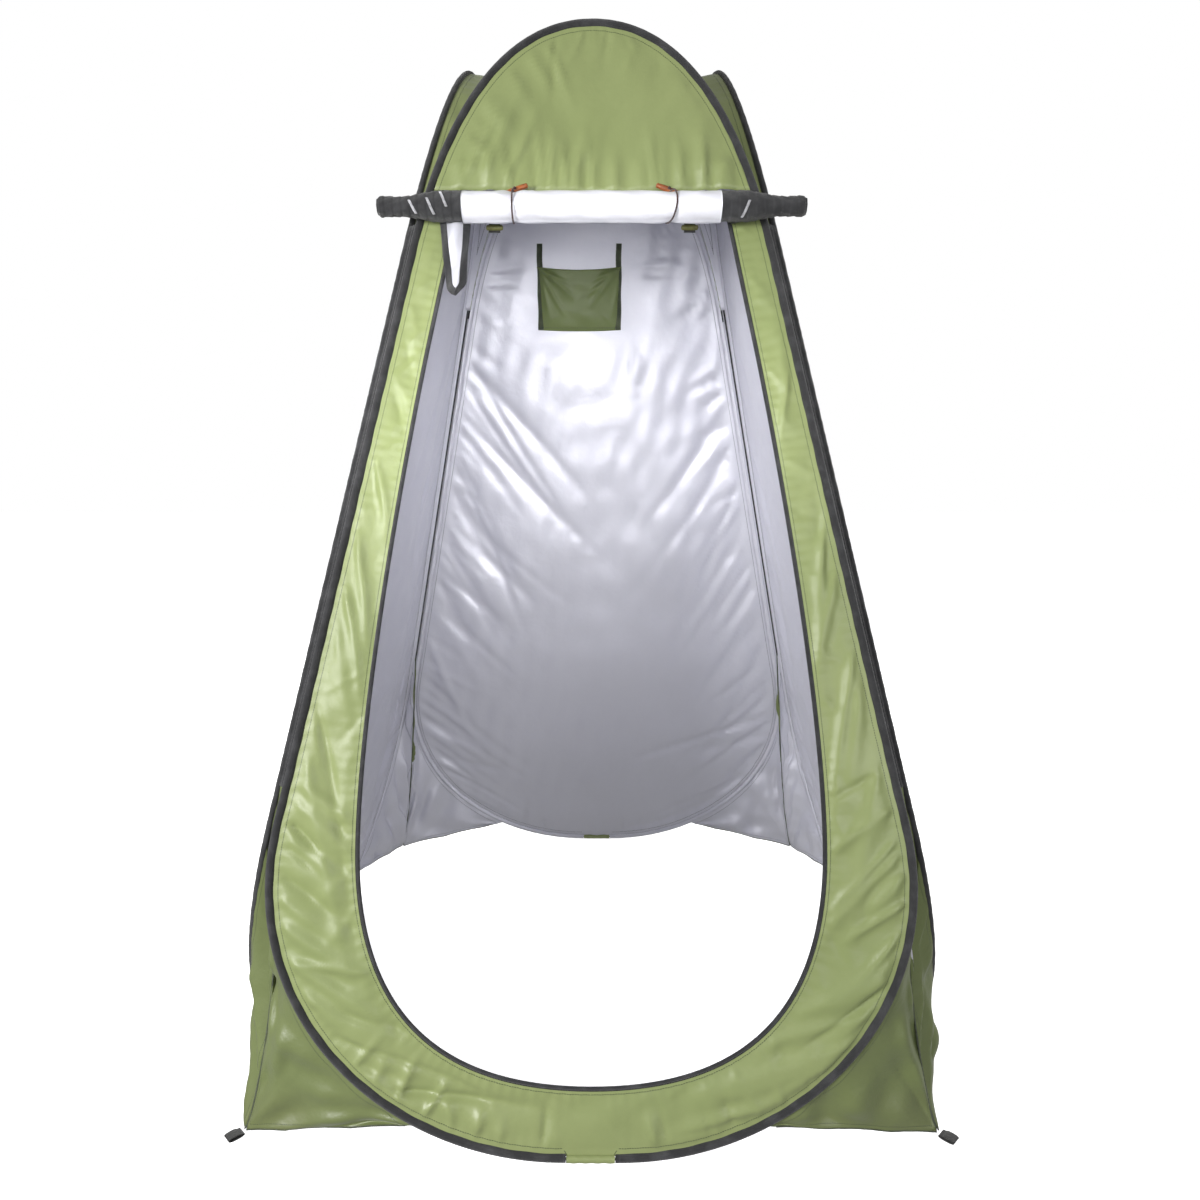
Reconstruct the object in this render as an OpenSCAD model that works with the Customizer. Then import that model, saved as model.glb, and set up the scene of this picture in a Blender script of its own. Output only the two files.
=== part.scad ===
// Pop-up privacy shower tent: four sprung hoops that lean together, one per wall, with coated
// fabric walls, a roof laced between the arches, and a rolled-up zip door at the front.
// Frame: millimetres, +Z up, the door faces -Y, origin on the floor under the centre.

/* [Frame] */
// height of the hoops' crowns
height = 1900; // [1750:10:2000]
// distance on the floor from the centre to each hoop's plane
base_half = 648; // [600:1:700]
// how far a hoop leans inwards for each unit of height
lean = 0.2148; // [0.19:0.001:0.23]
// half width of a hoop where it is widest
hip_half = 531; // [500:1:540]
// height where a hoop is widest
hip_height = 430; // [380:5:470]
// height where a hoop's lower bend runs into its straight side
flank_low = 600; // [560:5:650]
// height where a hoop's straight side runs into its arch
flank_high = 1480; // [1400:10:1520]

/* [Hoops and sleeves] */
// outside radius of the bound sleeve round a hoop
sleeve_r = 6; // [5:0.1:6.4]
// radius of the spring-steel wire
wire_r = 2.2; // [1.5:0.1:2.4]
// half length of the gap in a sleeve, where the wire ends are joined
patch_half = 40; // [30:1:60]
// half length of the crimped tube that joins the wire ends
ferrule_half = 15; // [10:1:25]

/* [Fabric] */
// thickness of the fabric pieces
fabric = 1.2; // [1:0.1:1.6]
// distance on the floor from the centre planes to the fabric corners
corner_half = 583; // [560:1:600]
// half width of the hoop's foot that the corner flaps leave bare
foot_half = 280; // [200:10:350]
// how far the middle of the roof hangs below the arches
roof_sag = 22; // [5:1:60]

/* [Doorway] */
// height of the seam that the door hangs from
head_height = 1578; // [1540:1:1600]
// height of the sill in the middle
sill_height = 108; // [90:1:150]
// half width of the doorway at the head seam
head_half = 234; // [210:1:245]
// half width of the doorway where it is widest
door_half = 389; // [360:1:400]
// height where the doorway is widest
door_wide_height = 489; // [450:1:540]
// width of the zip tape round the doorway
tape_w = 7; // [5:0.5:10]
// radius of the rolled door
roll_r = 26; // [20:1:30]
// half length of the plain middle of the rolled door
roll_half = 220; // [180:1:260]
// length of the wound zip tape at each end of the roll
bundle_len = 145; // [100:1:160]

/* [Trim] */
// distance of each tie from the centre
tie_u = 134; // [100:1:180]
// distance of each hanging strap from the centre
strap_u = 172; // [150:1:190]
// width of the pocket
pocket_w = 205; // [150:1:240]
// height of the pocket
pocket_h = 146; // [120:1:180]
// depth of the pocket
pocket_d = 24; // [20:1:30]

/* [Show] */
// name of the one piece to build, or all

/* [Hidden] */

// turns about Z that put a front piece on each wall, and each corner piece on its corner
front = 0;
right = 90;
back = 180;
left = 270;

lean_angle = atan(lean);
hinge_gap = 8;                                       // from a hinge line to a sleeve's centre, each way
hinge_inset = hinge_gap / cos(lean_angle);           // the same from a hoop's plane, along the floor
clear = 0.4;                                         // gap between pieces that lie side by side
round_steps = 12;                                    // pieces in each bend of a hoop
sides = 8;                                           // flats round a swept tube

// --- shapes shared by all the walls -------------------------------------------------------

function plane_at(z) = base_half - lean * z;         // centre to a hoop's plane, at height z
function hinge_at(z) = plane_at(z) - hinge_inset;    // centre to the line two walls fold about
function flank_at(z) = hinge_at(z) - hinge_gap;      // half width of a hoop on its straight side
function up(z) = z / cos(lean_angle);                // height to distance up a leaning plane
function on_plane(p) = [p[0], up(p[1])];             // [half width, height] to a point in the plane

function bezier(p, t) = pow(1 - t, 3) * p[0] + 3 * pow(1 - t, 2) * t * p[1]
                      + 3 * (1 - t) * t * t * p[2] + pow(t, 3) * p[3];

// right half of a hoop as [half width, height], in four runs from the foot up to the crown; the
// foot itself is straight, where the wire is joined
straight_foot = patch_half + 6;
foot_bend = [[straight_foot, sleeve_r], [300, sleeve_r], [hip_half, 180], [hip_half, hip_height]];
hip_bend = [[hip_half, hip_height], [hip_half, hip_height + 60],
            [flank_at(flank_low - 60), flank_low - 60], [flank_at(flank_low), flank_low]];
arch_bend = [[flank_at(flank_high), flank_high], [flank_at(flank_high + 120), flank_high + 120],
             [210, height - sleeve_r], [0, height - sleeve_r]];
flank_steps = 6;
hip_steps = 3;

// starts at this half width on the straight foot
function half_hoop(start) = concat(
  [[start, sleeve_r]],
  [for (i = [0 : round_steps - 1]) bezier(foot_bend, i / round_steps)],
  [for (i = [0 : hip_steps - 1]) bezier(hip_bend, i / hip_steps)],
  [for (i = [0 : flank_steps - 1])
    let (z = flank_low + (flank_high - flank_low) * i / flank_steps) [flank_at(z), z]],
  [for (i = [0 : round_steps]) bezier(arch_bend, i / round_steps)]);

// whole hoop in its plane, anticlockwise from the foot; the half paths share the crown point
function whole_hoop(start) =
  let (half = half_hoop(start), n = len(half), first = start > 0 ? 0 : 1)
  concat([for (p = half) on_plane(p)],
         [for (i = [n - 2 : -1 : first]) on_plane([-half[i][0], half[i][1]])]);

// direction pointing out of the loop at point i
function outward(path, i, closed) =
  let (n = len(path),
       a = path[closed ? (i + n - 1) % n : max(i - 1, 0)],
       b = path[closed ? (i + 1) % n : min(i + 1, n - 1)],
       d = (b - a) / norm(b - a))
  [d[1], -d[0]];

function grown(path, by) = [for (i = [0 : len(path) - 1]) path[i] + by * outward(path, i, true)];

// corners of the flat-sided ring of radius r round point i of a path
function ring(path, i, r, closed) =
  let (out = outward(path, i, closed), corner_r = r / cos(180 / sides))
  [for (j = [0 : sides - 1]) let (a = 360 * (j + 0.5) / sides)
    [path[i][0] + corner_r * cos(a) * out[0], path[i][1] + corner_r * cos(a) * out[1],
     corner_r * sin(a)]];

// two triangles that close the gap between ring points a, b and the next ring's c, d
function quad(a, b, c, d) = [[a, b, c], [b, d, c]];

function flatten(lists) = [for (l = lists) for (x = l) x];

// skin of a tube: rings of points joined to the next ring, inside out when flip is set
function skin(rings, offset, wrap, flip) = flatten(
  [for (i = [0 : rings - (wrap ? 1 : 2)]) for (j = [0 : sides - 1])
    let (next = (i + 1) % rings, k = (j + 1) % sides,
         a = offset + i * sides + j, b = offset + i * sides + k,
         c = offset + next * sides + j, d = offset + next * sides + k)
    flip ? quad(a, c, b, d) : quad(a, b, c, d)]);

module closed_rod(path, r) {
  points = flatten([for (i = [0 : len(path) - 1]) ring(path, i, r, true)]);
  polyhedron(points, skin(len(path), 0, true, false), convexity = 10);
}

// hollow tube along an open path, closed at each end by a flat ring
module open_tube(path, r_out, r_in) {
  n = len(path);
  points = concat(flatten([for (i = [0 : n - 1]) ring(path, i, r_out, false)]),
                  flatten([for (i = [0 : n - 1]) ring(path, i, r_in, false)]));
  inner = n * sides;
  last = (n - 1) * sides;
  ends = flatten([for (j = [0 : sides - 1]) let (k = (j + 1) % sides)
    concat(quad(j, inner + j, k, inner + k),
           quad(last + j, last + k, inner + last + j, inner + last + k))]);
  polyhedron(points, concat(skin(n, 0, false, false), skin(n, inner, false, true), ends),
             convexity = 10);
}

// the plane of one wall: X along the wall, Y up the slope, Z outwards
module on_wall(turn) {
  rotate([0, 0, turn])
    translate([0, -base_half, 0])
      rotate([90 - lean_angle, 0, 0])
        children();
}

module plate(thick) {
  translate([0, 0, -thick / 2])
    linear_extrude(thick)
      children();
}

// --- hoops ---------------------------------------------------------------------------------

module hoop(turn) {
  color("Silver")
    on_wall(turn)
      closed_rod(whole_hoop(0), wire_r);
}

module foot_tube(turn, half_len, r_out, r_in) {
  on_wall(turn)
    translate([0, up(sleeve_r), 0])
      rotate([0, 90, 0])
        difference() {
          cylinder(h = 2 * half_len, r = r_out, center = true, $fn = 48);
          cylinder(h = 2 * half_len + 2, r = r_in, center = true, $fn = 48);
        }
}

ferrule_bore_r = wire_r + 0.5;                       // the wire still bends a little inside it
ferrule_r = ferrule_bore_r + 0.8;

module hoop_ferrule(turn) {
  color("Gray")
    foot_tube(turn, ferrule_half, ferrule_r, ferrule_bore_r);
}

module sleeve(turn) {
  color([0.12, 0.12, 0.13])
    on_wall(turn)
      open_tube(whole_hoop(patch_half), sleeve_r, wire_r + clear);
}

foot_flat = 5;                                       // half width of the flat a hoop stands on

// wrapped round the joined wire, with a flat underside on the floor
module sleeve_patch(turn) {
  color([0.58, 0.66, 0.42])
    rotate([0, 0, turn])
      translate([0, -plane_at(sleeve_r), sleeve_r])
        rotate([90, 0, 90])
          linear_extrude(2 * patch_half - 3, center = true)
            difference() {
              union() {
                circle(r = sleeve_r, $fn = 48);
                translate([-foot_flat, -sleeve_r])
                  square([2 * foot_flat, sleeve_r]);
              }
              circle(r = ferrule_r + clear, $fn = 48);
            }
}

// --- walls ---------------------------------------------------------------------------------

module wall_outline() {
  polygon(grown(whole_hoop(0), -(sleeve_r + 2 * clear)));
}

// right half of the doorway as [half width, height], from the head down to the sill
tape_straight = 1330;                                // the tape runs straight down to here
straight_half = 283;                                 // half width of the doorway at that height
door_side = [[straight_half, tape_straight],
             [straight_half + 20, tape_straight - 100],
             [door_half, 760], [door_half, door_wide_height]];
door_sill = [[door_half, door_wide_height], [door_half, door_wide_height - 255],
             [260, sill_height], [0, sill_height]];

function half_door() = concat(
  [[head_half, head_height]],
  [for (i = [0 : round_steps - 1]) bezier(door_side, i / round_steps)],
  [for (i = [0 : round_steps]) bezier(door_sill, i / round_steps)]);

function whole_door() =
  let (half = half_door(), n = len(half))
  concat([for (i = [n - 1 : -1 : 0]) on_plane(half[i])],
         [for (i = [0 : n - 2]) on_plane([-half[i][0], half[i][1]])]);

seam_w = 8;                                          // width of the head seam

module below_head() {
  translate([-base_half, 0])
    square([2 * base_half, up(head_height) - seam_w / 2 - clear]);
}

module above_head() {
  translate([-base_half, up(head_height) + seam_w / 2 + clear])
    square([2 * base_half, height]);
}

module wall(turn) {
  color([0.62, 0.70, 0.46])
    on_wall(turn)
      plate(fabric)
        wall_outline();
}

module front_wall() {
  color([0.62, 0.70, 0.46])
    on_wall(front)
      plate(fabric)
        difference() {
          intersection() {
            wall_outline();
            below_head();
          }
          polygon(grown(whole_door(), tape_w + clear));
        }
}

module front_arch_panel() {
  color([0.62, 0.70, 0.46])
    on_wall(front)
      plate(fabric)
        intersection() {
          wall_outline();
          above_head();
        }
}

module head_seam() {
  color([0.35, 0.38, 0.30])
    on_wall(front)
      plate(fabric + 1)
        intersection() {
          wall_outline();
          translate([-base_half, up(head_height) - seam_w / 2])
            square([2 * base_half, seam_w]);
        }
}

tape_t = fabric + 0.6;                               // thickness of the zip tape and its teeth

module door_zip_tape() {
  color([0.10, 0.10, 0.11])
    on_wall(front)
      plate(tape_t)
        intersection() {
          difference() {
            polygon(grown(whole_door(), tape_w));
            polygon(whole_door());
          }
          below_head();
        }
}

// --- corner flaps, roof and corner seams -----------------------------------------------------

// a point of space written in the front wall's plane: along, up the slope, outwards
function in_front_plane(p) =
  let (dy = p[1] + base_half)
  [p[0], dy * sin(lean_angle) + p[2] * cos(lean_angle),
   p[2] * sin(lean_angle) - dy * cos(lean_angle)];

flap_steps = 16;
hem_share = 7;                                       // steps of a flap's free edge along the floor
foot_start = 0.33 * foot_half / 280;                 // where along the foot bend a flap begins
flap_half = 0.6;                                     // half thickness of a flap's fabric

// right half of a hoop from where the flap begins to the top of the flap
function flap_hoop(i) =
  let (t = i / (flap_steps - hip_steps))
  t <= 1 ? bezier(foot_bend, foot_start + (1 - foot_start) * t)
         : bezier(hip_bend, (i - flap_steps + hip_steps) / hip_steps);

flap_path = [for (i = [0 : flap_steps]) on_plane(flap_hoop(i))];
flap_outer = [for (i = [0 : flap_steps])
  let (p = flap_path[i] + (sleeve_r + 1.6) * outward(flap_path, i, false)) [p[0], p[1], 0]];

// free edge: along the floor to the fabric corner, then up the corner seam to the hinge line
flap_corner = [corner_half - 1, -corner_half, 1];
flap_top = [hinge_at(flank_low) - 1, -hinge_at(flank_low), flank_low];
function between(a, b, share) = a + (b - a) * share;
function flap_free(i) =
  i <= hem_share
    ? between(flap_outer[0], in_front_plane(flap_corner), (i + 0.3) / (hem_share + 0.3))
    : in_front_plane(between(flap_corner, flap_top, (i - hem_share) / (flap_steps - hem_share)));
flap_inner = [for (i = [0 : flap_steps]) flap_free(i)];

// thickened on a slant, because the flap turns from facing outwards to facing along the wall
module flap() {
  lift = flap_half * [sin(45), 0, cos(45)];
  n = flap_steps + 1;
  points = concat([for (p = flap_outer) p + lift], [for (p = flap_inner) p + lift],
                  [for (p = flap_outer) p - lift], [for (p = flap_inner) p - lift]);
  polyhedron(points, sheet_faces(n), convexity = 10);
}

// faces of a thin sheet made of two rows of n points and the same two rows underneath
function sheet_faces(n) = concat(
  flatten([for (i = [0 : n - 2]) quad(i, n + i, i + 1, n + i + 1)]),
  flatten([for (i = [0 : n - 2]) quad(2 * n + i, 2 * n + i + 1, 3 * n + i, 3 * n + i + 1)]),
  flatten([for (i = [0 : n - 2]) quad(i, i + 1, 2 * n + i, 2 * n + i + 1)]),
  flatten([for (i = [0 : n - 2]) quad(n + i, 3 * n + i, n + i + 1, 3 * n + i + 1)]),
  quad(0, 2 * n, n, 3 * n),
  quad(n - 1, 2 * n - 1, 3 * n - 1, 4 * n - 1));

module skirt(turn) {
  color([0.50, 0.58, 0.36])
    on_wall(turn) {
      flap();
      mirror([1, 0, 0])
        flap();
    }
}

roof_start = 0.10;                                   // where along the arch the roof begins
roof_steps = 16;
roof_half = 0.7;                                     // half thickness of the roof's fabric

// right half of the roof's front edge, from the corner to the crown, as [half width, height]
function roof_arch(i) = bezier(arch_bend, roof_start + (1 - roof_start) * i / roof_steps);
roof_right = [for (i = [0 : roof_steps]) roof_arch(i)];
roof_line = concat(roof_right,
                   [for (i = [roof_steps - 1 : -1 : 0]) [-roof_right[i][0], roof_right[i][1]]]);
roof_corner = roof_right[0][0];

// behind the sleeve, and on the diagonal where the next wall's roof begins
function roof_front(p) = [p[0], -(plane_at(p[1]) - sleeve_r - 2), p[1]];
function roof_diagonal(p) =
  let (a = min(abs(p[0]), hinge_at(p[1]) - 6))
  [sign(p[0]) * (a - 0.5), -a - 0.5, p[1] - roof_sag * (1 - a / roof_corner) - 1];

module roof(turn) {
  lift = [0, 0, roof_half];
  edge = [for (p = roof_line) roof_front(p)];
  ridge = [for (p = roof_line) roof_diagonal(p)];
  points = concat([for (p = ridge) p + lift], [for (p = edge) p + lift],
                  [for (p = ridge) p - lift], [for (p = edge) p - lift]);
  color([0.62, 0.70, 0.46])
    rotate([0, 0, turn])
      polyhedron(points, sheet_faces(len(roof_line)), convexity = 10);
}

seam_r = 2.8;                                        // radius of the rolled corner seams
open_seam_r = 1.6;                                   // the one seam that is sewn to one wall only
open_seam_aside = 3.4;
corner_lean = atan(lean * sqrt(2));                  // lean of a corner line, seen across the corner

// stands up the corner between the wall at this turn and the next one anticlockwise, or aside from
// the corner line, towards the wall at this turn
module corner_seam(turn, r = seam_r, aside = 0) {
  seam_low = flank_low + 5;
  seam_high = flank_high - 5;
  color([0.20, 0.22, 0.18])
    rotate([0, 0, turn - 45])
      translate([hinge_at(seam_low) * sqrt(2), -aside, seam_low])
        rotate([0, -corner_lean, 0])
          cylinder(h = (seam_high - seam_low) / cos(corner_lean), r = r, $fn = 32);
}

loop_w = 20;                                         // width of the webbing
loop_len = 30;
loop_h = 8;
loop_t = 1.2;

module loop_profile(grow) {
  half = loop_h / 2 - grow;
  translate([loop_h / 2, loop_h / 2])
    circle(r = half, $fn = 32);
  translate([loop_len - loop_h / 2, loop_h / 2])
    circle(r = half, $fn = 32);
  translate([loop_h / 2, loop_h / 2 - half])
    square([loop_len - loop_h, 2 * half]);
}

module peg_loop(turn) {
  color([0.08, 0.08, 0.08])
    rotate([0, 0, turn - 45])
      translate([corner_half * sqrt(2) + 1.2, loop_w / 2, 0.3])
        rotate([90, 0, 0])
          linear_extrude(loop_w)
            difference() {
              loop_profile(0);
              loop_profile(loop_t);
            }
}

// --- rolled door, its ties and the hanging straps ----------------------------------------------

roll_up = up(head_height - 36);                      // the roll's axis, up the slope
roll_out = roll_r + 9;                               // and outwards from the front wall

module at_roll(u) {
  on_wall(front)
    translate([u, roll_up, roll_out])
      children();
}

strip_start = [up(head_height) - seam_w / 2, fabric / 2 + 1.5];
strip_run = [roll_up - strip_start[0], roll_out - strip_start[1]];
strip_len = norm(strip_run) - roll_r + 2;

// the short width of door fabric between the head seam and the roll
module door_strip() {
  on_wall(front)
    translate([0, strip_start[0], strip_start[1]])
      rotate([atan2(strip_run[1], strip_run[0]), 0, 0])
        difference() {
          translate([-roll_half, 0, -fabric / 2])
            cube([2 * roll_half, strip_len, fabric]);
          for (side = [-1, 1])
            translate([side * tie_u - 4, -1, -fabric])
              cube([8, strip_len + 2, 2 * fabric]);
        }
}

module door_roll() {
  color([0.86, 0.87, 0.90]) {
    at_roll(0)
      rotate([0, 90, 0])
        cylinder(h = 2 * roll_half, r = roll_r, center = true, $fn = 64);
    door_strip();
  }
}

bundle_root_r = roll_r - 3;
bundle_tip_r = 15;

module door_zip_bundle(side) {
  color([0.07, 0.07, 0.08])
    at_roll(side * (roll_half + clear))
      rotate([0, side * 90, 0])
        cylinder(h = bundle_len, r1 = bundle_root_r, r2 = bundle_tip_r, $fn = 64);
}

fold_outer_u = -262;
fold_inner_u = -206;
fold_tip_u = -230;
fold_out = roll_out - 17;                            // it leaves the underside of the roll
fold_top = roll_up - 16;
fold_len = 134;

module door_loose_fold() {
  color([0.80, 0.81, 0.85])
    on_wall(front)
      translate([0, 0, fold_out])
        linear_extrude(2)
          polygon([[fold_outer_u, fold_top], [fold_inner_u, fold_top],
                   [fold_tip_u, fold_top - fold_len]]);
}

cord_r = 1.5;
tie_up = up(head_height + 6);                        // where each tie's toggle sits, up the slope
toggle_r = 5;
toggle_len = 48;
toggle_out = 11;
toggle_tilt = 22;

stub_r = cord_r - 0.3;                               // the elastic is thinner where it is sewn

// elastic round the roll, with the end that is sewn under the head seam
module tie_loop(side) {
  loop_r = roll_r + cord_r + clear;
  sewn = 3;
  color([0.36, 0.12, 0.10]) {
    at_roll(side * tie_u)
      rotate([0, 90, 0])
        rotate_extrude($fn = 96)
          translate([loop_r, 0])
            circle(r = cord_r, $fn = 24);
    on_wall(front)
      translate([side * tie_u, strip_start[0], strip_start[1]])
        rotate([-atan2(strip_run[0], strip_run[1]), 0, 0])
          translate([0, 0, sewn])
            cylinder(h = norm(strip_run) - loop_r - sewn, r = stub_r, $fn = 24);
  }
}

// elastic sewn above the head seam that the toggle is threaded on, knotted in front of it
module tie_anchor(side) {
  cord_out = (fabric + 1) / 2 + cord_r + clear / 2;
  knot_r = 2.8;
  stem = toggle_out + toggle_r + 1;
  color([0.36, 0.12, 0.10])
    on_wall(front)
      translate([side * tie_u, tie_up, 0]) {
        translate([0, 0, cord_out])
          rotate([90, 0, 0])
            cylinder(h = 9, r = cord_r, $fn = 24);
        translate([0, 0, cord_out])
          cylinder(h = stem - cord_out, r = cord_r, $fn = 24);
        translate([0, 0, stem + knot_r - 0.5])
          sphere(r = knot_r, $fn = 32);
      }
}

module tie_toggle(side) {
  color([0.55, 0.33, 0.18])
    on_wall(front)
      translate([side * tie_u, tie_up, toggle_out])
        rotate([0, 0, -side * toggle_tilt])
          difference() {
            rotate([0, 90, 0])
              cylinder(h = toggle_len, r = toggle_r, center = true, $fn = 48);
            cylinder(h = 3 * toggle_r, r = cord_r + 0.4, center = true, $fn = 32);
          }
}

strap_w = 20;
strap_len = 52;
strap_t = 1.6;
strap_top = head_height - 8;
strap_in = 7;                                        // behind the front hoop's plane at its top
bead_r = 5;
bead_len = 30;
bead_drop = strap_len - 10;                          // from the top of the strap to the bead
bead_gap = 0.3;                                      // round the strap, where it is threaded

module at_strap(side) {
  translate([side * strap_u, -plane_at(strap_top) + strap_in, strap_top])
    children();
}

module hang_strap(side) {
  hem_h = 3;
  hem_t = 3.4;
  color([0.08, 0.08, 0.08])
    at_strap(side) {
      translate([-strap_w / 2, -strap_t / 2, -strap_len])
        cube([strap_w, strap_t, strap_len]);
      translate([-strap_w / 2, -hem_t / 2, -strap_len])
        cube([strap_w, hem_t, hem_h]);
      rotate([0, 90, 0])
        cylinder(h = strap_w, r = 1.4, center = true, $fn = 24);
    }
}

module hang_bead(side) {
  color([0.40, 0.42, 0.22])
    at_strap(side)
      translate([0, 0, -bead_drop])
        difference() {
          rotate([0, 90, 0])
            cylinder(h = bead_len, r = bead_r, center = true, $fn = 48);
          cube([strap_w + 2 * bead_gap, strap_t + 2 * bead_gap, 3 * bead_r], center = true);
        }
}

// --- pocket ------------------------------------------------------------------------------------

pocket_x = -39;                                      // centre of the pocket across the back wall
pocket_bottom = 1460;
pocket_wall = 1.5;
pocket_tape_w = 13;
pocket_tape_rise = 54;                               // how far the tapes run on above the mouth
pocket_in = fabric / 2 + clear;                      // gap behind the pocket

module on_pocket() {
  on_wall(back)
    translate([-pocket_x, up(pocket_bottom), -pocket_in])
      children();
}

module pocket() {
  color([0.54, 0.60, 0.38])
    on_pocket()
      difference() {
        translate([-pocket_w / 2, 0, -pocket_d])
          cube([pocket_w, pocket_h, pocket_d]);
        translate([-pocket_w / 2 + pocket_wall, pocket_wall, -pocket_d + pocket_wall])
          cube([pocket_w - 2 * pocket_wall, pocket_h, pocket_d - 2 * pocket_wall]);
      }
}

module pocket_tapes() {
  color([0.16, 0.17, 0.14])
    on_pocket()
      for (side = [-1, 1])
        translate([side * (pocket_w - pocket_tape_w) / 2 - pocket_tape_w / 2, pocket_h + clear, -3])
          cube([pocket_tape_w, pocket_tape_rise, 2]);
}

// --- zip sliders -------------------------------------------------------------------------------

slider_drop = 40;                                    // below the head seam, where a slider parks
slider_w = 11;
slider_len = 18;
slider_h = 8;
slider_gap = 0.45;                                   // running clearance over the tape
tape_slope = atan2(straight_half - head_half, up(head_height) - up(tape_straight));
pull_len = 30;
pull_t = 1.6;
pivot_r = 1;

function tape_u(z) = head_half + (head_height - z) * (straight_half - head_half)
                               / (head_height - tape_straight);

// on the middle of the straight zip tape, Y up along it
module at_slider(side) {
  z = head_height - slider_drop;
  on_wall(front)
    translate([side * (tape_u(z) + tape_w / 2), up(z), 0])
      rotate([0, 0, side * tape_slope])
        children();
}

pull_in = slider_h / 2 + pivot_r + 1;                // from the tape to the pull's pivot, inwards
lug_w = 1.6;
pull_w = slider_w - 2 * lug_w - 1;
pivot_gap = 0.08;                                    // running clearance round the pivot

// clips over the tape from the doorway's side, with two lugs for the pull's pivot behind
module zip_slider(side) {
  slot = tape_t + 2 * slider_gap;
  lug_low = pull_in + pivot_r + 0.4;
  color([0.75, 0.75, 0.76])
    at_slider(side) {
      difference() {
        cube([slider_w, slider_len, slider_h], center = true);
        translate([side * lug_w, 0, 0])
          cube([slider_w, slider_len + 2, slot], center = true);
      }
      for (end = [-1, 1])
        translate([end * (slider_w - lug_w) / 2 - lug_w / 2, -2, -lug_low])
          cube([lug_w, 4, lug_low - slider_h / 2 + 0.5]);
      translate([0, 0, -pull_in])
        rotate([0, 90, 0])
          cylinder(h = slider_w - lug_w, r = pivot_r, center = true, $fn = 24);
    }
}

// hangs straight down from its pivot
module zip_pull(side) {
  color([0.70, 0.70, 0.72])
    at_slider(side)
      translate([0, 0, -pull_in])
        rotate([lean_angle, 0, 0])
          difference() {
            union() {
              rotate([0, 90, 0])
                cylinder(h = pull_w, r = pivot_r + 0.9, center = true, $fn = 32);
              translate([-pull_w / 2, -pull_len, -pull_t / 2])
                cube([pull_w, pull_len, pull_t]);
            }
            rotate([0, 90, 0])
              cylinder(h = 2 * slider_w, r = pivot_r + pivot_gap, center = true, $fn = 32);
          }
}

// --- what is built -----------------------------------------------------------------------------

hoop(front);  // front_hoop
hoop(right);  // right_hoop
hoop(back);  // back_hoop
hoop(left);  // left_hoop
hoop_ferrule(front);  // front_hoop_ferrule
hoop_ferrule(right);  // right_hoop_ferrule
hoop_ferrule(back);  // back_hoop_ferrule
hoop_ferrule(left);  // left_hoop_ferrule
sleeve(front);  // front_sleeve
sleeve(right);  // right_sleeve
sleeve(back);  // back_sleeve
sleeve(left);  // left_sleeve
sleeve_patch(front);  // front_sleeve_patch
sleeve_patch(right);  // right_sleeve_patch
sleeve_patch(back);  // back_sleeve_patch
sleeve_patch(left);  // left_sleeve_patch
front_wall();
wall(right);  // right_wall
wall(back);  // back_wall
wall(left);  // left_wall
skirt(front);  // front_skirt
skirt(right);  // right_skirt
skirt(back);  // back_skirt
skirt(left);  // left_skirt
roof(front);  // front_roof
roof(right);  // right_roof
roof(back);  // back_roof
roof(left);  // left_roof
front_arch_panel();
head_seam();
door_zip_tape();
corner_seam(front);  // front_right_seam
corner_seam(right);  // back_right_seam
corner_seam(back, open_seam_r, open_seam_aside);  // back_left_seam
corner_seam(left);  // front_left_seam
peg_loop(front);  // front_right_peg_loop
peg_loop(right);  // back_right_peg_loop
peg_loop(back);  // back_left_peg_loop
peg_loop(left);  // front_left_peg_loop
door_roll();
door_zip_bundle(-1);  // door_zip_bundle_left
door_zip_bundle(1);  // door_zip_bundle_right
door_loose_fold();
tie_loop(-1);  // tie_loop_left
tie_anchor(-1);  // tie_anchor_left
tie_loop(1);  // tie_loop_right
tie_anchor(1);  // tie_anchor_right
tie_toggle(-1);  // tie_toggle_left
tie_toggle(1);  // tie_toggle_right
hang_strap(-1);  // hang_strap_left
hang_strap(1);  // hang_strap_right
hang_bead(-1);  // hang_bead_left
hang_bead(1);  // hang_bead_right
pocket();
pocket_tapes();
zip_slider(-1);  // zip_slider_left
zip_slider(1);  // zip_slider_right
zip_pull(-1);  // zip_pull_left
zip_pull(1);  // zip_pull_right
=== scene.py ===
"""Looks of the pop-up shower tent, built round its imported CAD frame. Metres, +Z up, the door faces -Y.

Every sheet is laid out on the wall that it belongs to: u along the wall, s up its slope, n outwards.
"""

import math

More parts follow.
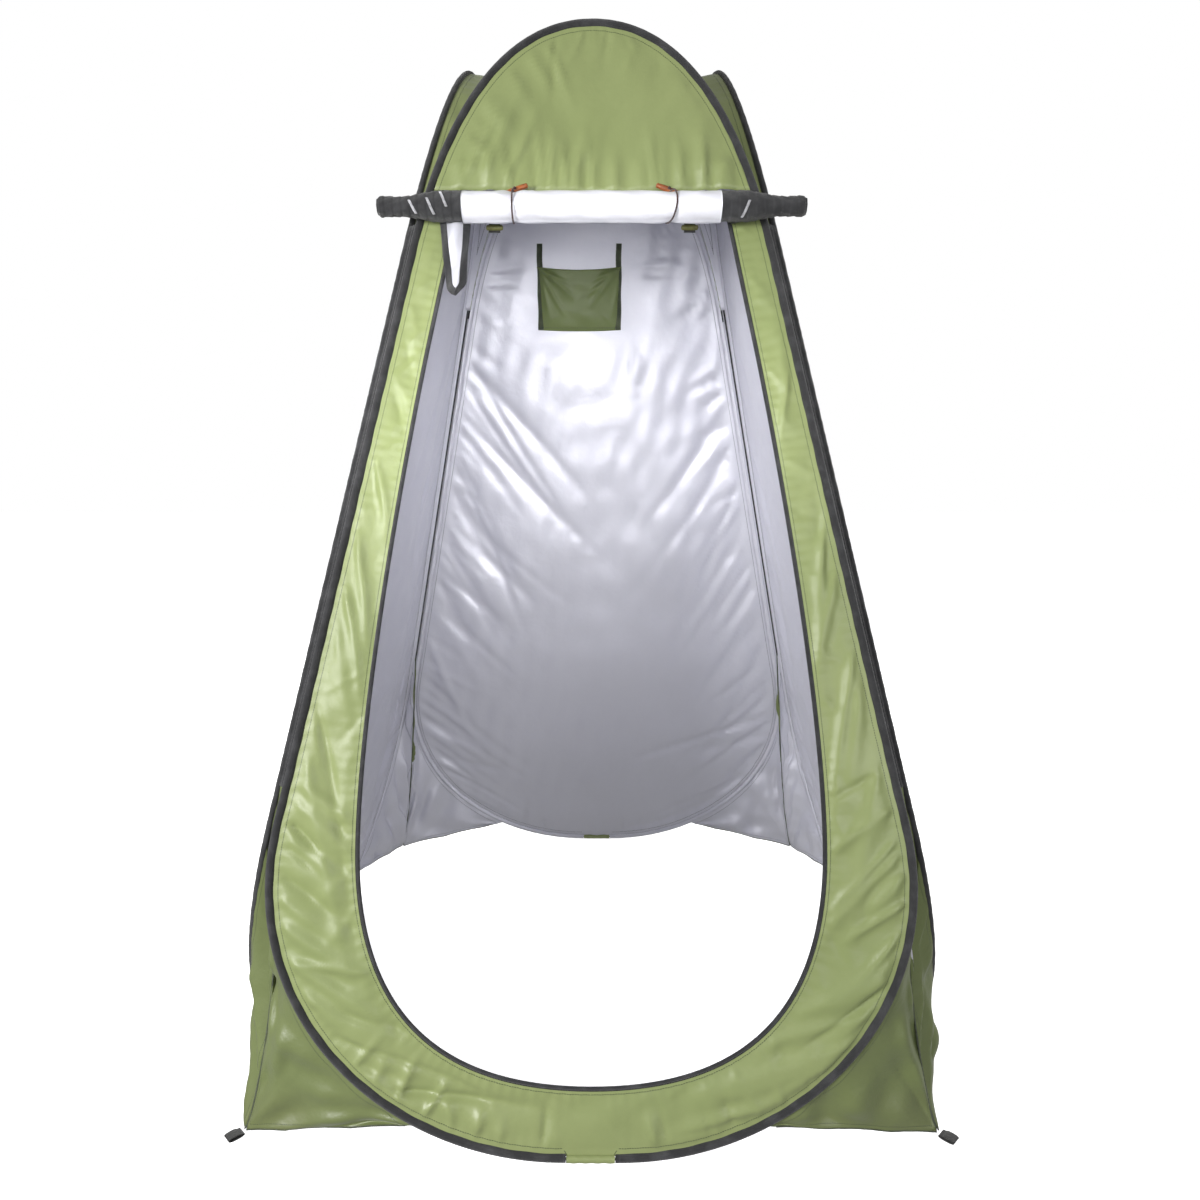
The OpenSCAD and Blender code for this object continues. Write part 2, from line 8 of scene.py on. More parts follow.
import bpy
import numpy as np
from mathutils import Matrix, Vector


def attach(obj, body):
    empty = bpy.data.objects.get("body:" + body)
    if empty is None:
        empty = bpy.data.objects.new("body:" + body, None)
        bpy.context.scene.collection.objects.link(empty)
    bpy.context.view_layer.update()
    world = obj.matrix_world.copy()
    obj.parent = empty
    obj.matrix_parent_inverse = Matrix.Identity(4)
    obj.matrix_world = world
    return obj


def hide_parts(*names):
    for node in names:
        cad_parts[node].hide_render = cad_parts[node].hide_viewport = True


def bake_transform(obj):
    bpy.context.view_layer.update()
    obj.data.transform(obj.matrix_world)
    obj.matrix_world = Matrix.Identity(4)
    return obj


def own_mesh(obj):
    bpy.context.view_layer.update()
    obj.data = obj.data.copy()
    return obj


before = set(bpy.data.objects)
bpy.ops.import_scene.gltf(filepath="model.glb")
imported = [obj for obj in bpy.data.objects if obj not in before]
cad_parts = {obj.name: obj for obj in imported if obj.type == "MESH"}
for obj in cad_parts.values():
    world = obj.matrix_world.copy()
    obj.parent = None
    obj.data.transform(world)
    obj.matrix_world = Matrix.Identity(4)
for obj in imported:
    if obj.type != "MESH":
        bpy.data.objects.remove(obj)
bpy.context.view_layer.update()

# --- the frame's shape, as part.scad draws it ---------------------------------------------------

HEIGHT = 1.900
BASE = 0.648  # centre to each hoop's plane on the floor
LEAN = 0.2148
HIP_HALF = 0.531
HIP_HEIGHT = 0.430
FLANK_LOW = 0.600
FLANK_HIGH = 1.480
SLEEVE_R = 0.006
PATCH_HALF = 0.040  # half length of the gap in a sleeve, where the wire is joined
STRAIGHT_FOOT = PATCH_HALF + 0.006
CORNER_HALF = 0.583
HEAD_HEIGHT = 1.578
HEAD_HALF = 0.234
SEAM_W = 0.008
TAPE_W = 0.007
ROLL_R = 0.026
ROLL_HALF = 0.220
BUNDLE_LEN = 0.145
TIE_U = 0.134
STRAP_U = 0.172
FABRIC = 0.0012  # thickness of the visible cloth, a little more than the real one

TILT = math.atan(LEAN)
COS, SIN = math.cos(TILT), math.sin(TILT)
HINGE_INSET = 0.008 / COS
WALLS = {"front": 0, "right": 90, "back": 180, "left": 270}


def plane_at(z):
    return BASE - LEAN * z


def hinge_at(z):
    return plane_at(z) - HINGE_INSET


def flank_at(z):
    return hinge_at(z) - 0.008


def up(z):
    return z / COS


def bezier(points, count, start=0.0):
    """Points of a cubic run from its share start to its end, the end left out."""
    p = np.array(points, float)
    t = (start + (1 - start) * np.arange(count) / count)[:, None]
    return (1 - t) ** 3 * p[0] + 3 * (1 - t) ** 2 * t * p[1] + 3 * (1 - t) * t**2 * p[2] + t**3 * p[3]


FOOT_BEND = [[STRAIGHT_FOOT, SLEEVE_R], [0.300, SLEEVE_R], [HIP_HALF, 0.180], [HIP_HALF, HIP_HEIGHT]]
HIP_BEND = [
    [HIP_HALF, HIP_HEIGHT],
    [HIP_HALF, HIP_HEIGHT + 0.060],
    [flank_at(FLANK_LOW - 0.060), FLANK_LOW - 0.060],
    [flank_at(FLANK_LOW), FLANK_LOW],
]
FLANK = [[flank_at(z), z] for z in np.linspace(FLANK_LOW, FLANK_HIGH, 4)]
ARCH_BEND = [
    [flank_at(FLANK_HIGH), FLANK_HIGH],
    [flank_at(FLANK_HIGH + 0.120), FLANK_HIGH + 0.120],
    [0.210, HEIGHT - SLEEVE_R],
    [0, HEIGHT - SLEEVE_R],
]
DOOR_SIDE = [[0.283, 1.330], [0.303, 1.230], [0.389, 0.760], [0.389, 0.489]]
DOOR_SILL = [[0.389, 0.489], [0.389, 0.234], [0.260, 0.108], [0, 0.108]]


def run_along(path):
    """How far each point is along a path from its start."""
    return np.append(0, np.cumsum(np.linalg.norm(np.diff(path, axis=0), axis=1)))


def resampled(path, step):
    """The same path with points evenly spaced, about a step apart."""
    path = np.asarray(path, float)
    run = run_along(path)
    even = np.linspace(0, run[-1], max(2, round(run[-1] / step) + 1))
    return np.stack([np.interp(even, run, path[:, k]) for k in range(path.shape[1])], 1)


def sloped(path):
    """[half width, height] to (u, s) in the wall's plane."""
    return np.asarray(path, float) * [1, 1 / COS]


def half_hoop(step, start=0.0):
    """The right half of a hoop, from this half width on its straight foot up to its crown."""
    bends = [bezier(FOOT_BEND, 60), bezier(HIP_BEND, 12), FLANK[:-1], bezier(ARCH_BEND, 60)]
    return resampled(sloped(np.vstack([[[start, SLEEVE_R]], *bends, [ARCH_BEND[-1]]])), step)


def half_door(step):
    runs = [[[HEAD_HALF, HEAD_HEIGHT]], bezier(DOOR_SIDE, 40), bezier(DOOR_SILL, 40)]
    return resampled(sloped(np.vstack([*runs, [DOOR_SILL[-1]]])), step)


def mirrored(half):
    """A path with its mirror image at u < 0 added after it, in one line."""
    return np.vstack([half, half[-2 if half[-1][0] == 0 else -1 :: -1] * [-1, 1]])


def directions(path):
    d = np.gradient(path, axis=0)
    return d / np.linalg.norm(d, axis=1, keepdims=True)


def offset(path, by):
    """A path in the plane moved sideways, to the right of the way it runs."""
    d = directions(path)
    return path + by * np.stack([d[:, 1], -d[:, 0]], 1)


def on_wall(turn, u, s, n=0.0):
    """World points of wall coordinates on the wall at this turn about Z, in degrees."""
    u, s, n = np.broadcast_arrays(np.asarray(u, float), s, n)
    y, z = -BASE + s * SIN - n * COS, s * COS + n * SIN
    c, d = math.cos(math.radians(turn)), math.sin(math.radians(turn))
    return np.stack([u * c - y * d, u * d + y * c, z], -1)


def outwards(turn):
    """The direction that the wall at this turn faces."""
    return on_wall(turn, 0, 0, 1) - on_wall(turn, 0, 0, 0)


def turned(points, turn):
    """World points turned about Z, in degrees."""
    c, d = math.cos(math.radians(turn)), math.sin(math.radians(turn))
    return points @ np.array([[c, d, 0], [-d, c, 0], [0, 0, 1]])


def round_turn(count):
    """Angles evenly spaced round a circle."""
    return np.linspace(0, math.tau, count, endpoint=False)


def word(hand):
    return "left" if hand < 0 else "right"


# --- folds and ripples ---------------------------------------------------------------------------


def smooth(x):
    x = np.clip(x, 0, 1)
    return x * x * (3 - 2 * x)


def bell(x, width):
    """1 at x = 0, fading to 0 over about two widths."""
    return np.exp(-((x / width) ** 2))


class Edge:
    """The right half of a sheet's sewn edge, from its foot upwards, in (u, s)."""

    def __init__(self, path):
        self.path = path
        self.run = run_along(path)

    def at(self, share):
        """The point at a share of the edge's length, and the direction of the edge there."""
        here = share * self.run[-1]
        point = [np.interp(here, self.run, self.path[:, k]) for k in (0, 1)]
        d = directions(self.path)
        way = [np.interp(here, self.run, d[:, k]) for k in (0, 1)]
        return np.array(point), np.array(way) / np.linalg.norm(way)

    def distance(self, u, s):
        """How far each point is from the edge or its mirror image, and where along it."""
        to_points = np.stack([np.abs(u).ravel(), s.ravel()], 1)[:, None] - self.path[:-1]
        step = np.diff(self.path, axis=0)
        share = np.clip((to_points * step).sum(2) / (step**2).sum(1), 0, 1)
        gaps = np.linalg.norm(to_points - share[..., None] * step, axis=2)
        near = gaps.argmin(1)
        row = np.arange(len(near))
        run = self.run[near] + share[row, near] * np.diff(self.run)[near]
        return gaps[row, near].reshape(u.shape), run.reshape(u.shape)


def edge_folds(edge, rng, span, spacing, turn, length, height, width=0.011, inward=1):
    """Folds that start on both halves of an edge and run inwards, turned up along it by turn."""
    count = max(1, round((span[1] - span[0]) * edge.run[-1] / spacing))
    folds = []
    for side in (-1, 1):
        for share in np.linspace(span[0], span[1], count):
            share = share + rng.uniform(-0.4, 0.4) * spacing / edge.run[-1]
            start, way = edge.at(np.clip(share, 0, 1))
            angle = math.radians(turn + rng.normal(0, 11))
            inside = np.array([-way[1], way[0]]) * inward
            reach = length * rng.uniform(0.55, 1.25)
            end = start + (inside * math.cos(angle) + way * math.sin(angle)) * reach
            size = height * rng.uniform(0.4, 1.2) * rng.choice([1, 1, -0.7])
            flip = np.array([side, 1])
            folds.append((start * flip, end * flip, width * rng.uniform(0.7, 1.5), size))
    return folds


def fan(edge, rng, span, count, turn, length, height, width=0.009):
    """Folds that leave both halves of an edge and fall towards the middle, in degrees below level."""
    folds = []
    for side in (-1, 1):
        for share in np.linspace(*span, count):
            start, _ = edge.at(share + rng.uniform(-0.4, 0.4) * (span[1] - span[0]) / count)
            angle = math.radians(turn + rng.normal(0, 6))
            reach = length * rng.uniform(0.5, 1.2)
            end = start - reach * np.array([math.cos(angle), math.sin(angle)])
            size = height * rng.uniform(0.5, 1.2) * rng.choice([1, 1, -0.6])
            flip = np.array([side, 1])
            folds.append((start * flip, end * flip, width * rng.uniform(0.7, 1.6), size))
    return folds


def line_folds(rng, start, end, count, turn, length, height, width=0.014):
    """Folds that start along a line and run off it at an angle, in degrees from +u."""
    folds = []
    for share in np.linspace(0, 1, count):
        share = share + rng.uniform(-0.4, 0.4) / count
        point = np.add(start, share * np.subtract(end, start))
        angle = math.radians(turn + rng.normal(0, 7))
        reach = length * rng.uniform(0.6, 1.3)
        tip = point + reach * np.array([math.cos(angle), math.sin(angle)])
        folds.append((point, tip, width * rng.uniform(0.7, 1.5), height * rng.uniform(0.5, 1.2)))
    return folds


def folded(u, s, folds, bend=0.06):
    """Height of the cloth over its plane: each fold is sharp at its start and spreads as it fades."""
    height = np.zeros_like(u)
    for k, (start, end, width, size) in enumerate(folds):
        du, ds = end - start
        length = math.hypot(du, ds)
        along = np.clip(((u - start[0]) * du + (s - start[1]) * ds) / length**2, -0.2, 1.2)
        across = ((u - start[0]) * ds - (s - start[1]) * du) / length
        across = across + bend * length * (1 if k % 2 else -1) * along * (1 - along)
        fade = smooth(4 * along + 0.2) * smooth(1.6 * (1 - along))
        spread = width * (0.55 + 0.9 * np.clip(along, 0, 1))
        height += size * fade / (1 + (across / spread) ** 2) ** 2
    return height


def ripples(u, s, rng, size, height, count=9):
    """Low waves in every direction, about a size apart."""
    total = np.zeros_like(u)
    for _ in range(count):
        angle, phase = rng.uniform(0, math.tau, 2)
        k = math.tau / (size * rng.uniform(0.7, 1.6))
        total += np.cos(k * (u * math.cos(angle) + s * math.sin(angle)) + phase)
    return height * total / math.sqrt(count)


HELD = 0.005  # a binding or tape holds this much of a sheet's edge flat


def puckers(run, gap, rng, height=0.0009, pitch=0.021):
    """The small gathers that a line of stitches pulls into the cloth beside it."""
    wave = np.sin(math.tau * run / pitch + 2.2 * np.sin(run / 0.057 + rng.uniform(0, 6)))
    return height * wave * np.exp(-gap / 0.020) * smooth((gap - HELD) / 0.007)


# --- meshes --------------------------------------------------------------------------------------


def quads(rows, cols, wrap_rows=False, wrap_cols=False):
    r = np.arange(rows if wrap_rows else rows - 1)[:, None]
    c = np.arange(cols if wrap_cols else cols - 1)[None]
    r2, c2 = (r + 1) % rows, (c + 1) % cols
    grid = [r * cols + c, r * cols + c2, r2 * cols + c2, r2 * cols + c]
    return np.stack([np.broadcast_to(g, (r.size, c.size)) for g in grid], -1).reshape(-1, 4)


def capped(rows, cols):
    """Faces of a skin over rings, with a flat face at each end."""
    faces = quads(rows, cols, wrap_cols=True).tolist()
    return faces + [list(range(cols)), list(range(rows * cols - 1, rows * cols - cols - 1, -1))]


def surface_normals(points):
    across, along = np.gradient(points, axis=1), np.gradient(points, axis=0)
    n = np.cross(across, along)
    return n / np.maximum(np.linalg.norm(n, axis=2, keepdims=True), 1e-12)


def piece(name, points, faces, materials, which=None, body=None, slot=None, replaces=(), marks=None):
    """Makes a smooth-shaded mesh object and puts it on its body."""
    mesh = bpy.data.meshes.new(name)
    mesh.from_pydata(np.asarray(points, float).reshape(-1, 3).tolist(), [], [list(f) for f in faces])
    for material in materials:
        mesh.materials.append(material)
    mesh.polygons.foreach_set("use_smooth", np.ones(len(mesh.polygons), bool))
    if which is not None:
        mesh.polygons.foreach_set("material_index", np.asarray(which, np.int32))
    for key, values in (marks or {}).items():
        mark = mesh.attributes.new(key, "FLOAT", "POINT")
        mark.data.foreach_set("value", np.ravel(values).astype(np.float32))
    mesh.update()
    made = bpy.data.objects.new(name, mesh)
    bpy.context.scene.collection.objects.link(made)
    if body:
        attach(made, body)
    if replaces:
        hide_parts(*replaces)
    return made


def rim(rows, cols):
    """The points round the edge of a grid, in order."""
    index = np.arange(rows * cols).reshape(rows, cols)
    return np.concatenate([index[0], index[1:, -1], index[-1, -2::-1], index[-2:0:-1, 0]])


TURNED_OVER = [0, 3, 2, 1]  # a quad facing the other way, still split along the same diagonal


def sheet(name, points, out, materials, thick=FABRIC, marks=None, level=False, **more):
    """A closed sheet of cloth round a grid of points: materials[0] faces out, materials[1] faces in.

    A level sheet has its thickness along out everywhere, so that sharp folds can't cross it.
    """
    rows, cols = points.shape[:2]
    normals = surface_normals(points)
    faces = quads(rows, cols)
    edge = rim(rows, cols)
    if (normals * out).sum() < 0:
        normals = -normals
        faces = faces[:, TURNED_OVER]
        edge = edge[::-1]
    if level:
        normals = out
    both = np.concatenate([points + normals * thick / 2, points - normals * thick / 2])
    count = rows * cols
    after = np.roll(edge, -1)
    side = np.stack([edge, edge + count, after + count, after], 1)
    every = np.concatenate([faces, faces[:, TURNED_OVER] + count, side])
    which = np.repeat([0, 1, 0], [len(faces), len(faces), len(side)])
    marks = {key: np.tile(np.ravel(value), 2) for key, value in (marks or {}).items()}
    return piece(name, both, every, materials, which, marks=marks, **more)


def tube(name, rings, materials, closed=False, which=None, **more):
    """A closed skin round rings of points, with flat ends unless the rings make a loop."""
    rows, cols = rings.shape[:2]
    faces = quads(rows, cols, wrap_rows=True, wrap_cols=True) if closed else capped(rows, cols)
    kinds = np.zeros(len(faces), int)
    if which is not None:
        kinds[: len(which)] = which
    return piece(name, rings, faces, materials, kinds, **more)


def swept(turn, path, section):
    """Rings along a path in a wall's plane. A section's points are (outwards from the path, n)."""
    section = np.broadcast_to(section, (len(path), *np.shape(section)[-2:]))
    d = directions(path)
    sideways = np.stack([d[:, 1], -d[:, 0]], 1)
    u = path[:, :1] + section[:, :, 0] * sideways[:, :1]
    s = path[:, 1:] + section[:, :, 0] * sideways[:, 1:]
    return on_wall(turn, u, s, section[:, :, 1])


def cord_rings(path, radius, count=10, strands=2, pitch=0.006):
    """Rings round a line in space, with the strands of a twisted cord."""
    d = directions(path)
    helper = np.where(np.abs(d[:, :1]) < 0.8, [[1.0, 0, 0]], [[0, 0, 1.0]])
    a = np.cross(d, helper)
    a /= np.linalg.norm(a, axis=1, keepdims=True)
    b = np.cross(d, a)
    run = run_along(path)[:, None]
    angle = round_turn(count)[None]
    r = radius * (0.9 + 0.1 * np.cos(strands * (angle - math.tau * run / pitch)))[..., None]
    around = np.cos(angle)[..., None] * a[:, None] + np.sin(angle)[..., None] * b[:, None]
    return path[:, None] + r * around


def joined(parts):
    """Several (points, faces) pairs as one."""
    points, faces = np.zeros((0, 3)), []
    for more, skin in parts:
        faces += [[int(index) + len(points) for index in face] for face in skin]
        points = np.concatenate([points, np.reshape(more, (-1, 3))])
    return points, faces


# --- materials -----------------------------------------------------------------------------------


class Look:
    """Writes a material's nodes: each call adds one node and links or sets its inputs."""

    def __init__(self, name):
        self.material = bpy.data.materials.new(name)
        self.material.use_nodes = True
        self.tree = self.material.node_tree
        self.shader = self.tree.nodes["Principled BSDF"]
        self.place = self.add("ShaderNodeTexCoord", {}, {}, "Object")

    def add(self, kind, settings, inputs, output=0):
        node = self.tree.nodes.new(kind)
        for key, value in settings.items():
            setattr(node, key, value)
        for key, value in inputs.items():
            self.put(node.inputs[key], value)
        return node.outputs[output]

    def put(self, socket, value):
        if isinstance(value, bpy.types.NodeSocket):
            self.tree.links.new(value, socket)
        else:
            socket.default_value = value

    def set(self, **inputs):
        for key, value in inputs.items():
            self.put(self.shader.inputs[key.replace("_", " ")], value)

    def math(self, operation, a, b=0.0):
        return self.add("ShaderNodeMath", {"operation": operation}, {0: a, 1: b})

    def noise(self, scale, detail=3.0, distortion=0.0, stretch=None):
        place = self.place
        if stretch:
            place = self.add("ShaderNodeVectorMath", {"operation": "MULTIPLY"}, {0: place, 1: stretch})
        inputs = {"Vector": place, "Scale": scale, "Detail": detail, "Distortion": distortion}
        return self.add("ShaderNodeTexNoise", {}, inputs)

    def waves(self, pitch):
        """Threads that cross, pitch metres apart, along the axes that lie in the surface."""
        normal = self.add("ShaderNodeNewGeometry", {}, {}, "Normal")
        total = 0.0
        for axis in "XYZ":
            inputs = {"Vector": self.place, "Scale": math.tau / 20 / pitch, "Distortion": 0.0}
            wave = self.add("ShaderNodeTexWave", {"bands_direction": axis}, inputs, "Fac")
            facing = self.math("ABSOLUTE", self.add("ShaderNodeSeparateXYZ", {}, {0: normal}, axis))
            within = self.spread(facing, 0.45, 0.85, 1.0, 0.0)
            total = self.math("ADD", total, self.math("MULTIPLY", wave, within))
        return total

    def mix(self, factor, a, b):
        node = self.tree.nodes.new("ShaderNodeMix")
        node.data_type = "RGBA"
        for index, value in ((0, factor), (6, a), (7, b)):
            self.put(node.inputs[index], value)
        return node.outputs[2]

    def spread(self, value, low, high, to_low=0.0, to_high=1.0):
        inputs = {"Value": value, 1: low, 2: high, 3: to_low, 4: to_high}
        return self.add("ShaderNodeMapRange", {}, inputs)

    def bump(self, height, distance, normal=None):
        inputs = {"Height": height, "Distance": distance, "Strength": 1.0}
        if normal is not None:
            inputs["Normal"] = normal
        return self.add("ShaderNodeBump", {}, inputs)

    def mark(self, key):
        return self.add("ShaderNodeAttribute", {"attribute_name": key}, {}, "Fac")


def rgb(red, green, blue):
    """A colour as seen on screen, in the renderer's linear numbers."""
    linear = [((c + 0.055) / 1.055) ** 2.4 if c > 0.04045 else c / 12.92 for c in (red, green, blue)]
    return (*linear, 1.0)


STITCH_IN = 0.0115  # a row of stitches lies this far from a sheet's edge
STITCH_PITCH = 0.0042
STITCH_HALF = 0.0006  # half width of the thread
STITCH_GAP = 0.28  # share of the pitch between two stitches
WEAVE_PITCH = 0.0011
WEAVE_DEPTH = 0.00004
SOIL_HEIGHT = 0.10
SOIL = rgb(0.38, 0.34, 0.27)


def fabric(name, colour, deep, roughness, metallic=0.0, crumple=0.0016, thread=None, soil=0.12):
    """Woven cloth: uneven dye, crumples, threads, soil towards the ground and a row of stitches."""
    look = Look(name)
    patches = look.spread(look.noise(2.3, 4.0), 0.35, 0.65)
    specks = look.spread(look.noise(90.0, 2.0), 0.3, 0.7)
    tint = look.mix(look.math("MULTIPLY", patches, 0.5), colour, deep)
    tint = look.mix(look.math("MULTIPLY", specks, 0.12), tint, deep)
    height = look.add("ShaderNodeSeparateXYZ", {}, {0: look.place}, "Z")
    low = look.math("MULTIPLY", look.spread(height, SOIL_HEIGHT, 0.0), look.noise(14.0, 5.0))
    tint = look.mix(look.math("MULTIPLY", low, soil), tint, SOIL)
    normal = look.bump(look.noise(17.0, 5.0, 0.2), crumple)
    normal = look.bump(look.waves(WEAVE_PITCH), WEAVE_DEPTH, normal)
    if thread:
        near = look.math("COMPARE", look.mark("gap"), STITCH_IN)
        near.node.inputs[2].default_value = STITCH_HALF
        dash = look.math("FRACT", look.math("DIVIDE", look.mark("run"), STITCH_PITCH))
        stitch = look.math("MULTIPLY", near, look.math("GREATER_THAN", dash, STITCH_GAP))
        tint = look.mix(stitch, tint, thread)
        normal = look.bump(stitch, 0.0005, normal)
    look.set(Base_Color=tint, Normal=normal, Metallic=metallic)
    uneven = look.spread(look.noise(6.0, 3.0), 0.3, 0.7, roughness - 0.06, roughness + 0.07)
    look.set(Roughness=uneven)
    look.set(Sheen_Weight=0.15, Sheen_Roughness=0.4)
    return look.material


def webbing(name, colour, deep, pitch=0.0022, roughness=0.75):
    """Coarse ribbed tape or binding."""
    look = Look(name)
    worn = look.spread(look.noise(35.0, 5.0), 0.45, 0.75)
    look.set(Base_Color=look.mix(worn, deep, colour))
    look.set(Roughness=look.spread(worn, 0, 1, roughness, roughness - 0.15))
    ribs = look.bump(look.waves(pitch), 0.00035)
    look.set(Normal=look.bump(look.noise(220.0, 3.0), 0.0004, ribs))
    look.set(Sheen_Weight=0.25)
    return look.material


def metal(name, colour, roughness):
    look = Look(name)
    scuffs = look.noise(160.0, 6.0, 1.5)
    look.set(Base_Color=look.mix(look.spread(scuffs, 0.5, 0.8), colour, rgb(0.30, 0.30, 0.30)))
    look.set(Metallic=1.0)
    look.set(Roughness=look.spread(scuffs, 0.3, 0.8, roughness, roughness + 0.25))
    look.set(Normal=look.bump(scuffs, 0.00008))
    return look.material


def plastic(name, colour, deep, roughness=0.4, grain=(1, 1, 1)):
    """Moulded or turned trim, with grain drawn out along one axis when it is stretched."""
    look = Look(name)
    streaks = look.spread(look.noise(140.0, 5.0, 0.6, grain), 0.35, 0.7)
    look.set(Base_Color=look.mix(streaks, colour, deep))
    look.set(Roughness=look.spread(streaks, 0, 1, roughness, roughness + 0.2))
    look.set(Normal=look.bump(streaks, 0.0001))
    return look.material


THREAD = rgb(0.30, 0.34, 0.22)
GREEN = fabric("green fabric", rgb(0.55, 0.59, 0.39), rgb(0.48, 0.53, 0.33), 0.40, thread=THREAD)
# the walls' green painted darker for the low flaps: painted shade
SHADED_FLAP_GREEN = fabric(
    "flap fabric painted shaded", rgb(0.44, 0.48, 0.30), rgb(0.36, 0.40, 0.24), 0.38,
    crumple=0.004, thread=THREAD, soil=0.3,
)
SILVER = fabric(
    "silver coating", rgb(0.84, 0.84, 0.875), rgb(0.80, 0.80, 0.835), 0.41,
    metallic=0.34, crumple=0.0022, thread=rgb(0.45, 0.46, 0.48),
)
# the walls' silver coating again, painted lighter and less metallic so that the roll looks lit: painted
# light
LIT_ROLL_COATING = fabric(
    "rolled coating painted lit", rgb(0.93, 0.93, 0.96), rgb(0.89, 0.89, 0.92), 0.38, metallic=0.15, crumple=0.0026
)
POCKET = fabric("pocket fabric", rgb(0.44, 0.49, 0.29), rgb(0.37, 0.42, 0.23), 0.42, thread=THREAD)
BINDING = webbing("black binding", rgb(0.22, 0.22, 0.23), rgb(0.13, 0.13, 0.14), 0.0016)
SEAM = webbing("seam binding", rgb(0.33, 0.36, 0.26), rgb(0.24, 0.27, 0.19), 0.0014)
WEBBING = webbing("black webbing", rgb(0.15, 0.15, 0.15), rgb(0.09, 0.09, 0.09))
ELASTIC = webbing("dark elastic", rgb(0.34, 0.14, 0.12), rgb(0.20, 0.08, 0.07), 0.0012, 0.65)
TOGGLE = plastic("brown toggle", rgb(0.66, 0.38, 0.20), rgb(0.40, 0.21, 0.11), 0.35, (0.15, 1, 1))
BEAD = plastic("olive bead", rgb(0.44, 0.44, 0.24), rgb(0.32, 0.32, 0.16))
ZIP_METAL = metal("zip metal", rgb(0.80, 0.80, 0.81), 0.25)
COIL = plastic("zip coil", rgb(0.10, 0.10, 0.11), rgb(0.06, 0.06, 0.07), 0.3)
# near white, though the zip's coil is black at the doorway: these teeth are painted highlights, the
# glints on the wound tape
GLINT_TEETH = plastic("zip teeth painted as glints", rgb(0.90, 0.90, 0.92), rgb(0.70, 0.70, 0.72), 0.25)
STEEL = metal("spring steel", rgb(0.62, 0.62, 0.64), 0.3)

# --- wall panels ---------------------------------------------------------------------------------

CLOTH_STEP = 0.011
TUCK = 0.0045  # a panel's edge lies this far inside the hoop's centre line, within the sleeve
hoop_edge = Edge(offset(half_hoop(CLOTH_STEP, STRAIGHT_FOOT - 0.001), -TUCK))
door_edge = Edge(offset(half_door(CLOTH_STEP), TAPE_W - 0.001)[::-1])


def panel_rows(low, high, columns):
    """(u, s) of a grid that fills a hoop between two heights up the slope, row by row."""
    path = hoop_edge.path[(hoop_edge.path[:, 1] > low) & (hoop_edge.path[:, 1] < high)]
    share = np.linspace(-1, 1, columns)[None]
    return path[:, :1] * share, path[:, 1:] + 0 * share


def shaped(u, s, edge, folds, rng, sag=0.010, crumple=0.0012):
    """How far the cloth stands out from its plane, and its distance from and along the sewn edge."""
    gap, run = edge.distance(u, s)
    free = smooth((gap - HELD) / 0.025)
    middle = smooth(gap / 0.260)
    n = folded(u, s, folds) * free - sag * middle + ripples(u, s, rng, 0.34, 0.0035) * middle
    n += ripples(u, s, rng, 0.075, crumple) * free + puckers(run, gap, rng)
    return n, {"gap": gap, "run": run}


def common_folds(rng, height=0.0062):
    """What every wall has: fans in the bends at its foot, light pulls on its flanks and arch."""
    folds = fan(hoop_edge, rng, (0.17, 0.37), 13, 42, 0.42, height * 1.5, 0.009)
    folds += fan(hoop_edge, rng, (0.10, 0.30), 7, 26, 0.50, height * 1.4, 0.016)
    folds += edge_folds(hoop_edge, rng, (0.02, 0.22), 0.035, 10, 0.10, height * 0.9, 0.008)
    folds += fan(hoop_edge, rng, (0.40, 0.62), 7, 66, 0.45, height * 1.3, 0.017)
    folds += edge_folds(hoop_edge, rng, (0.34, 0.80), 0.060, -25, 0.13, height * 0.8, 0.010)
    folds += edge_folds(hoop_edge, rng, (0.80, 0.99), 0.040, 0, 0.16, height * 0.8)
    return folds


OUTWARD = 0.010  # no fold stands out further than this


def held_in(n):
    return np.where(n > 0, OUTWARD * np.tanh(n / OUTWARD), n)


def wall_cloth(side, name, node, u, s, n, marks):
    """A sheet in a wall's plane, green outside and silver inside."""
    turn = WALLS[side]
    return sheet(
        name, on_wall(turn, u, s, n), outwards(turn), [GREEN, SILVER], marks=marks, level=True,
        body=f"{side}_wall_frame", slot="green_fabric", replaces=[node],
    )


def whole_wall(side, seed, folds, calm=None):
    """A wall panel without a doorway. It lies nearly flat where calm, given by place, is near 1."""
    rng = np.random.default_rng(seed)
    u, s = panel_rows(0, 9, 121)
    n, marks = shaped(u, s, hoop_edge, common_folds(rng) + folds(rng), rng)
    if calm:
        n = n * (1 - 0.94 * calm(u, s))
    made = wall_cloth(side, f"{side}_wall_cloth", f"{side}_wall", u, s, held_in(n), marks)


def side_folds(rng):
    folds = line_folds(rng, (-0.45, 0.9), (-0.30, 1.6), 7, -66, 0.55, 0.006, 0.019)
    folds += line_folds(rng, (0.45, 0.7), (0.33, 1.5), 7, 246, 0.50, 0.006, 0.019)
    return folds


def back_folds(rng):
    """Long pulls down from the back wall's left edge as the doorway shows it, and up from its right."""
    folds = line_folds(rng, (0.44, 0.95), (0.33, 1.45), 14, 238, 0.55, 0.0070, 0.013)
    folds += line_folds(rng, (0.46, 0.75), (0.40, 1.05), 7, 222, 0.35, 0.0055, 0.010)
    folds += line_folds(rng, (-0.46, 0.80), (-0.35, 1.35), 12, -58, 0.50, 0.0065, 0.013)
    folds += line_folds(rng, (-0.38, 1.10), (-0.31, 1.45), 9, -20, 0.14, 0.0045, 0.007)
    folds += line_folds(rng, (-0.26, 1.62), (-0.24, 1.70), 4, 4, 0.46, 0.0060, 0.009)
    folds += line_folds(rng, (0.28, 1.60), (0.26, 1.70), 4, 180, 0.36, 0.0060, 0.009)
    return folds


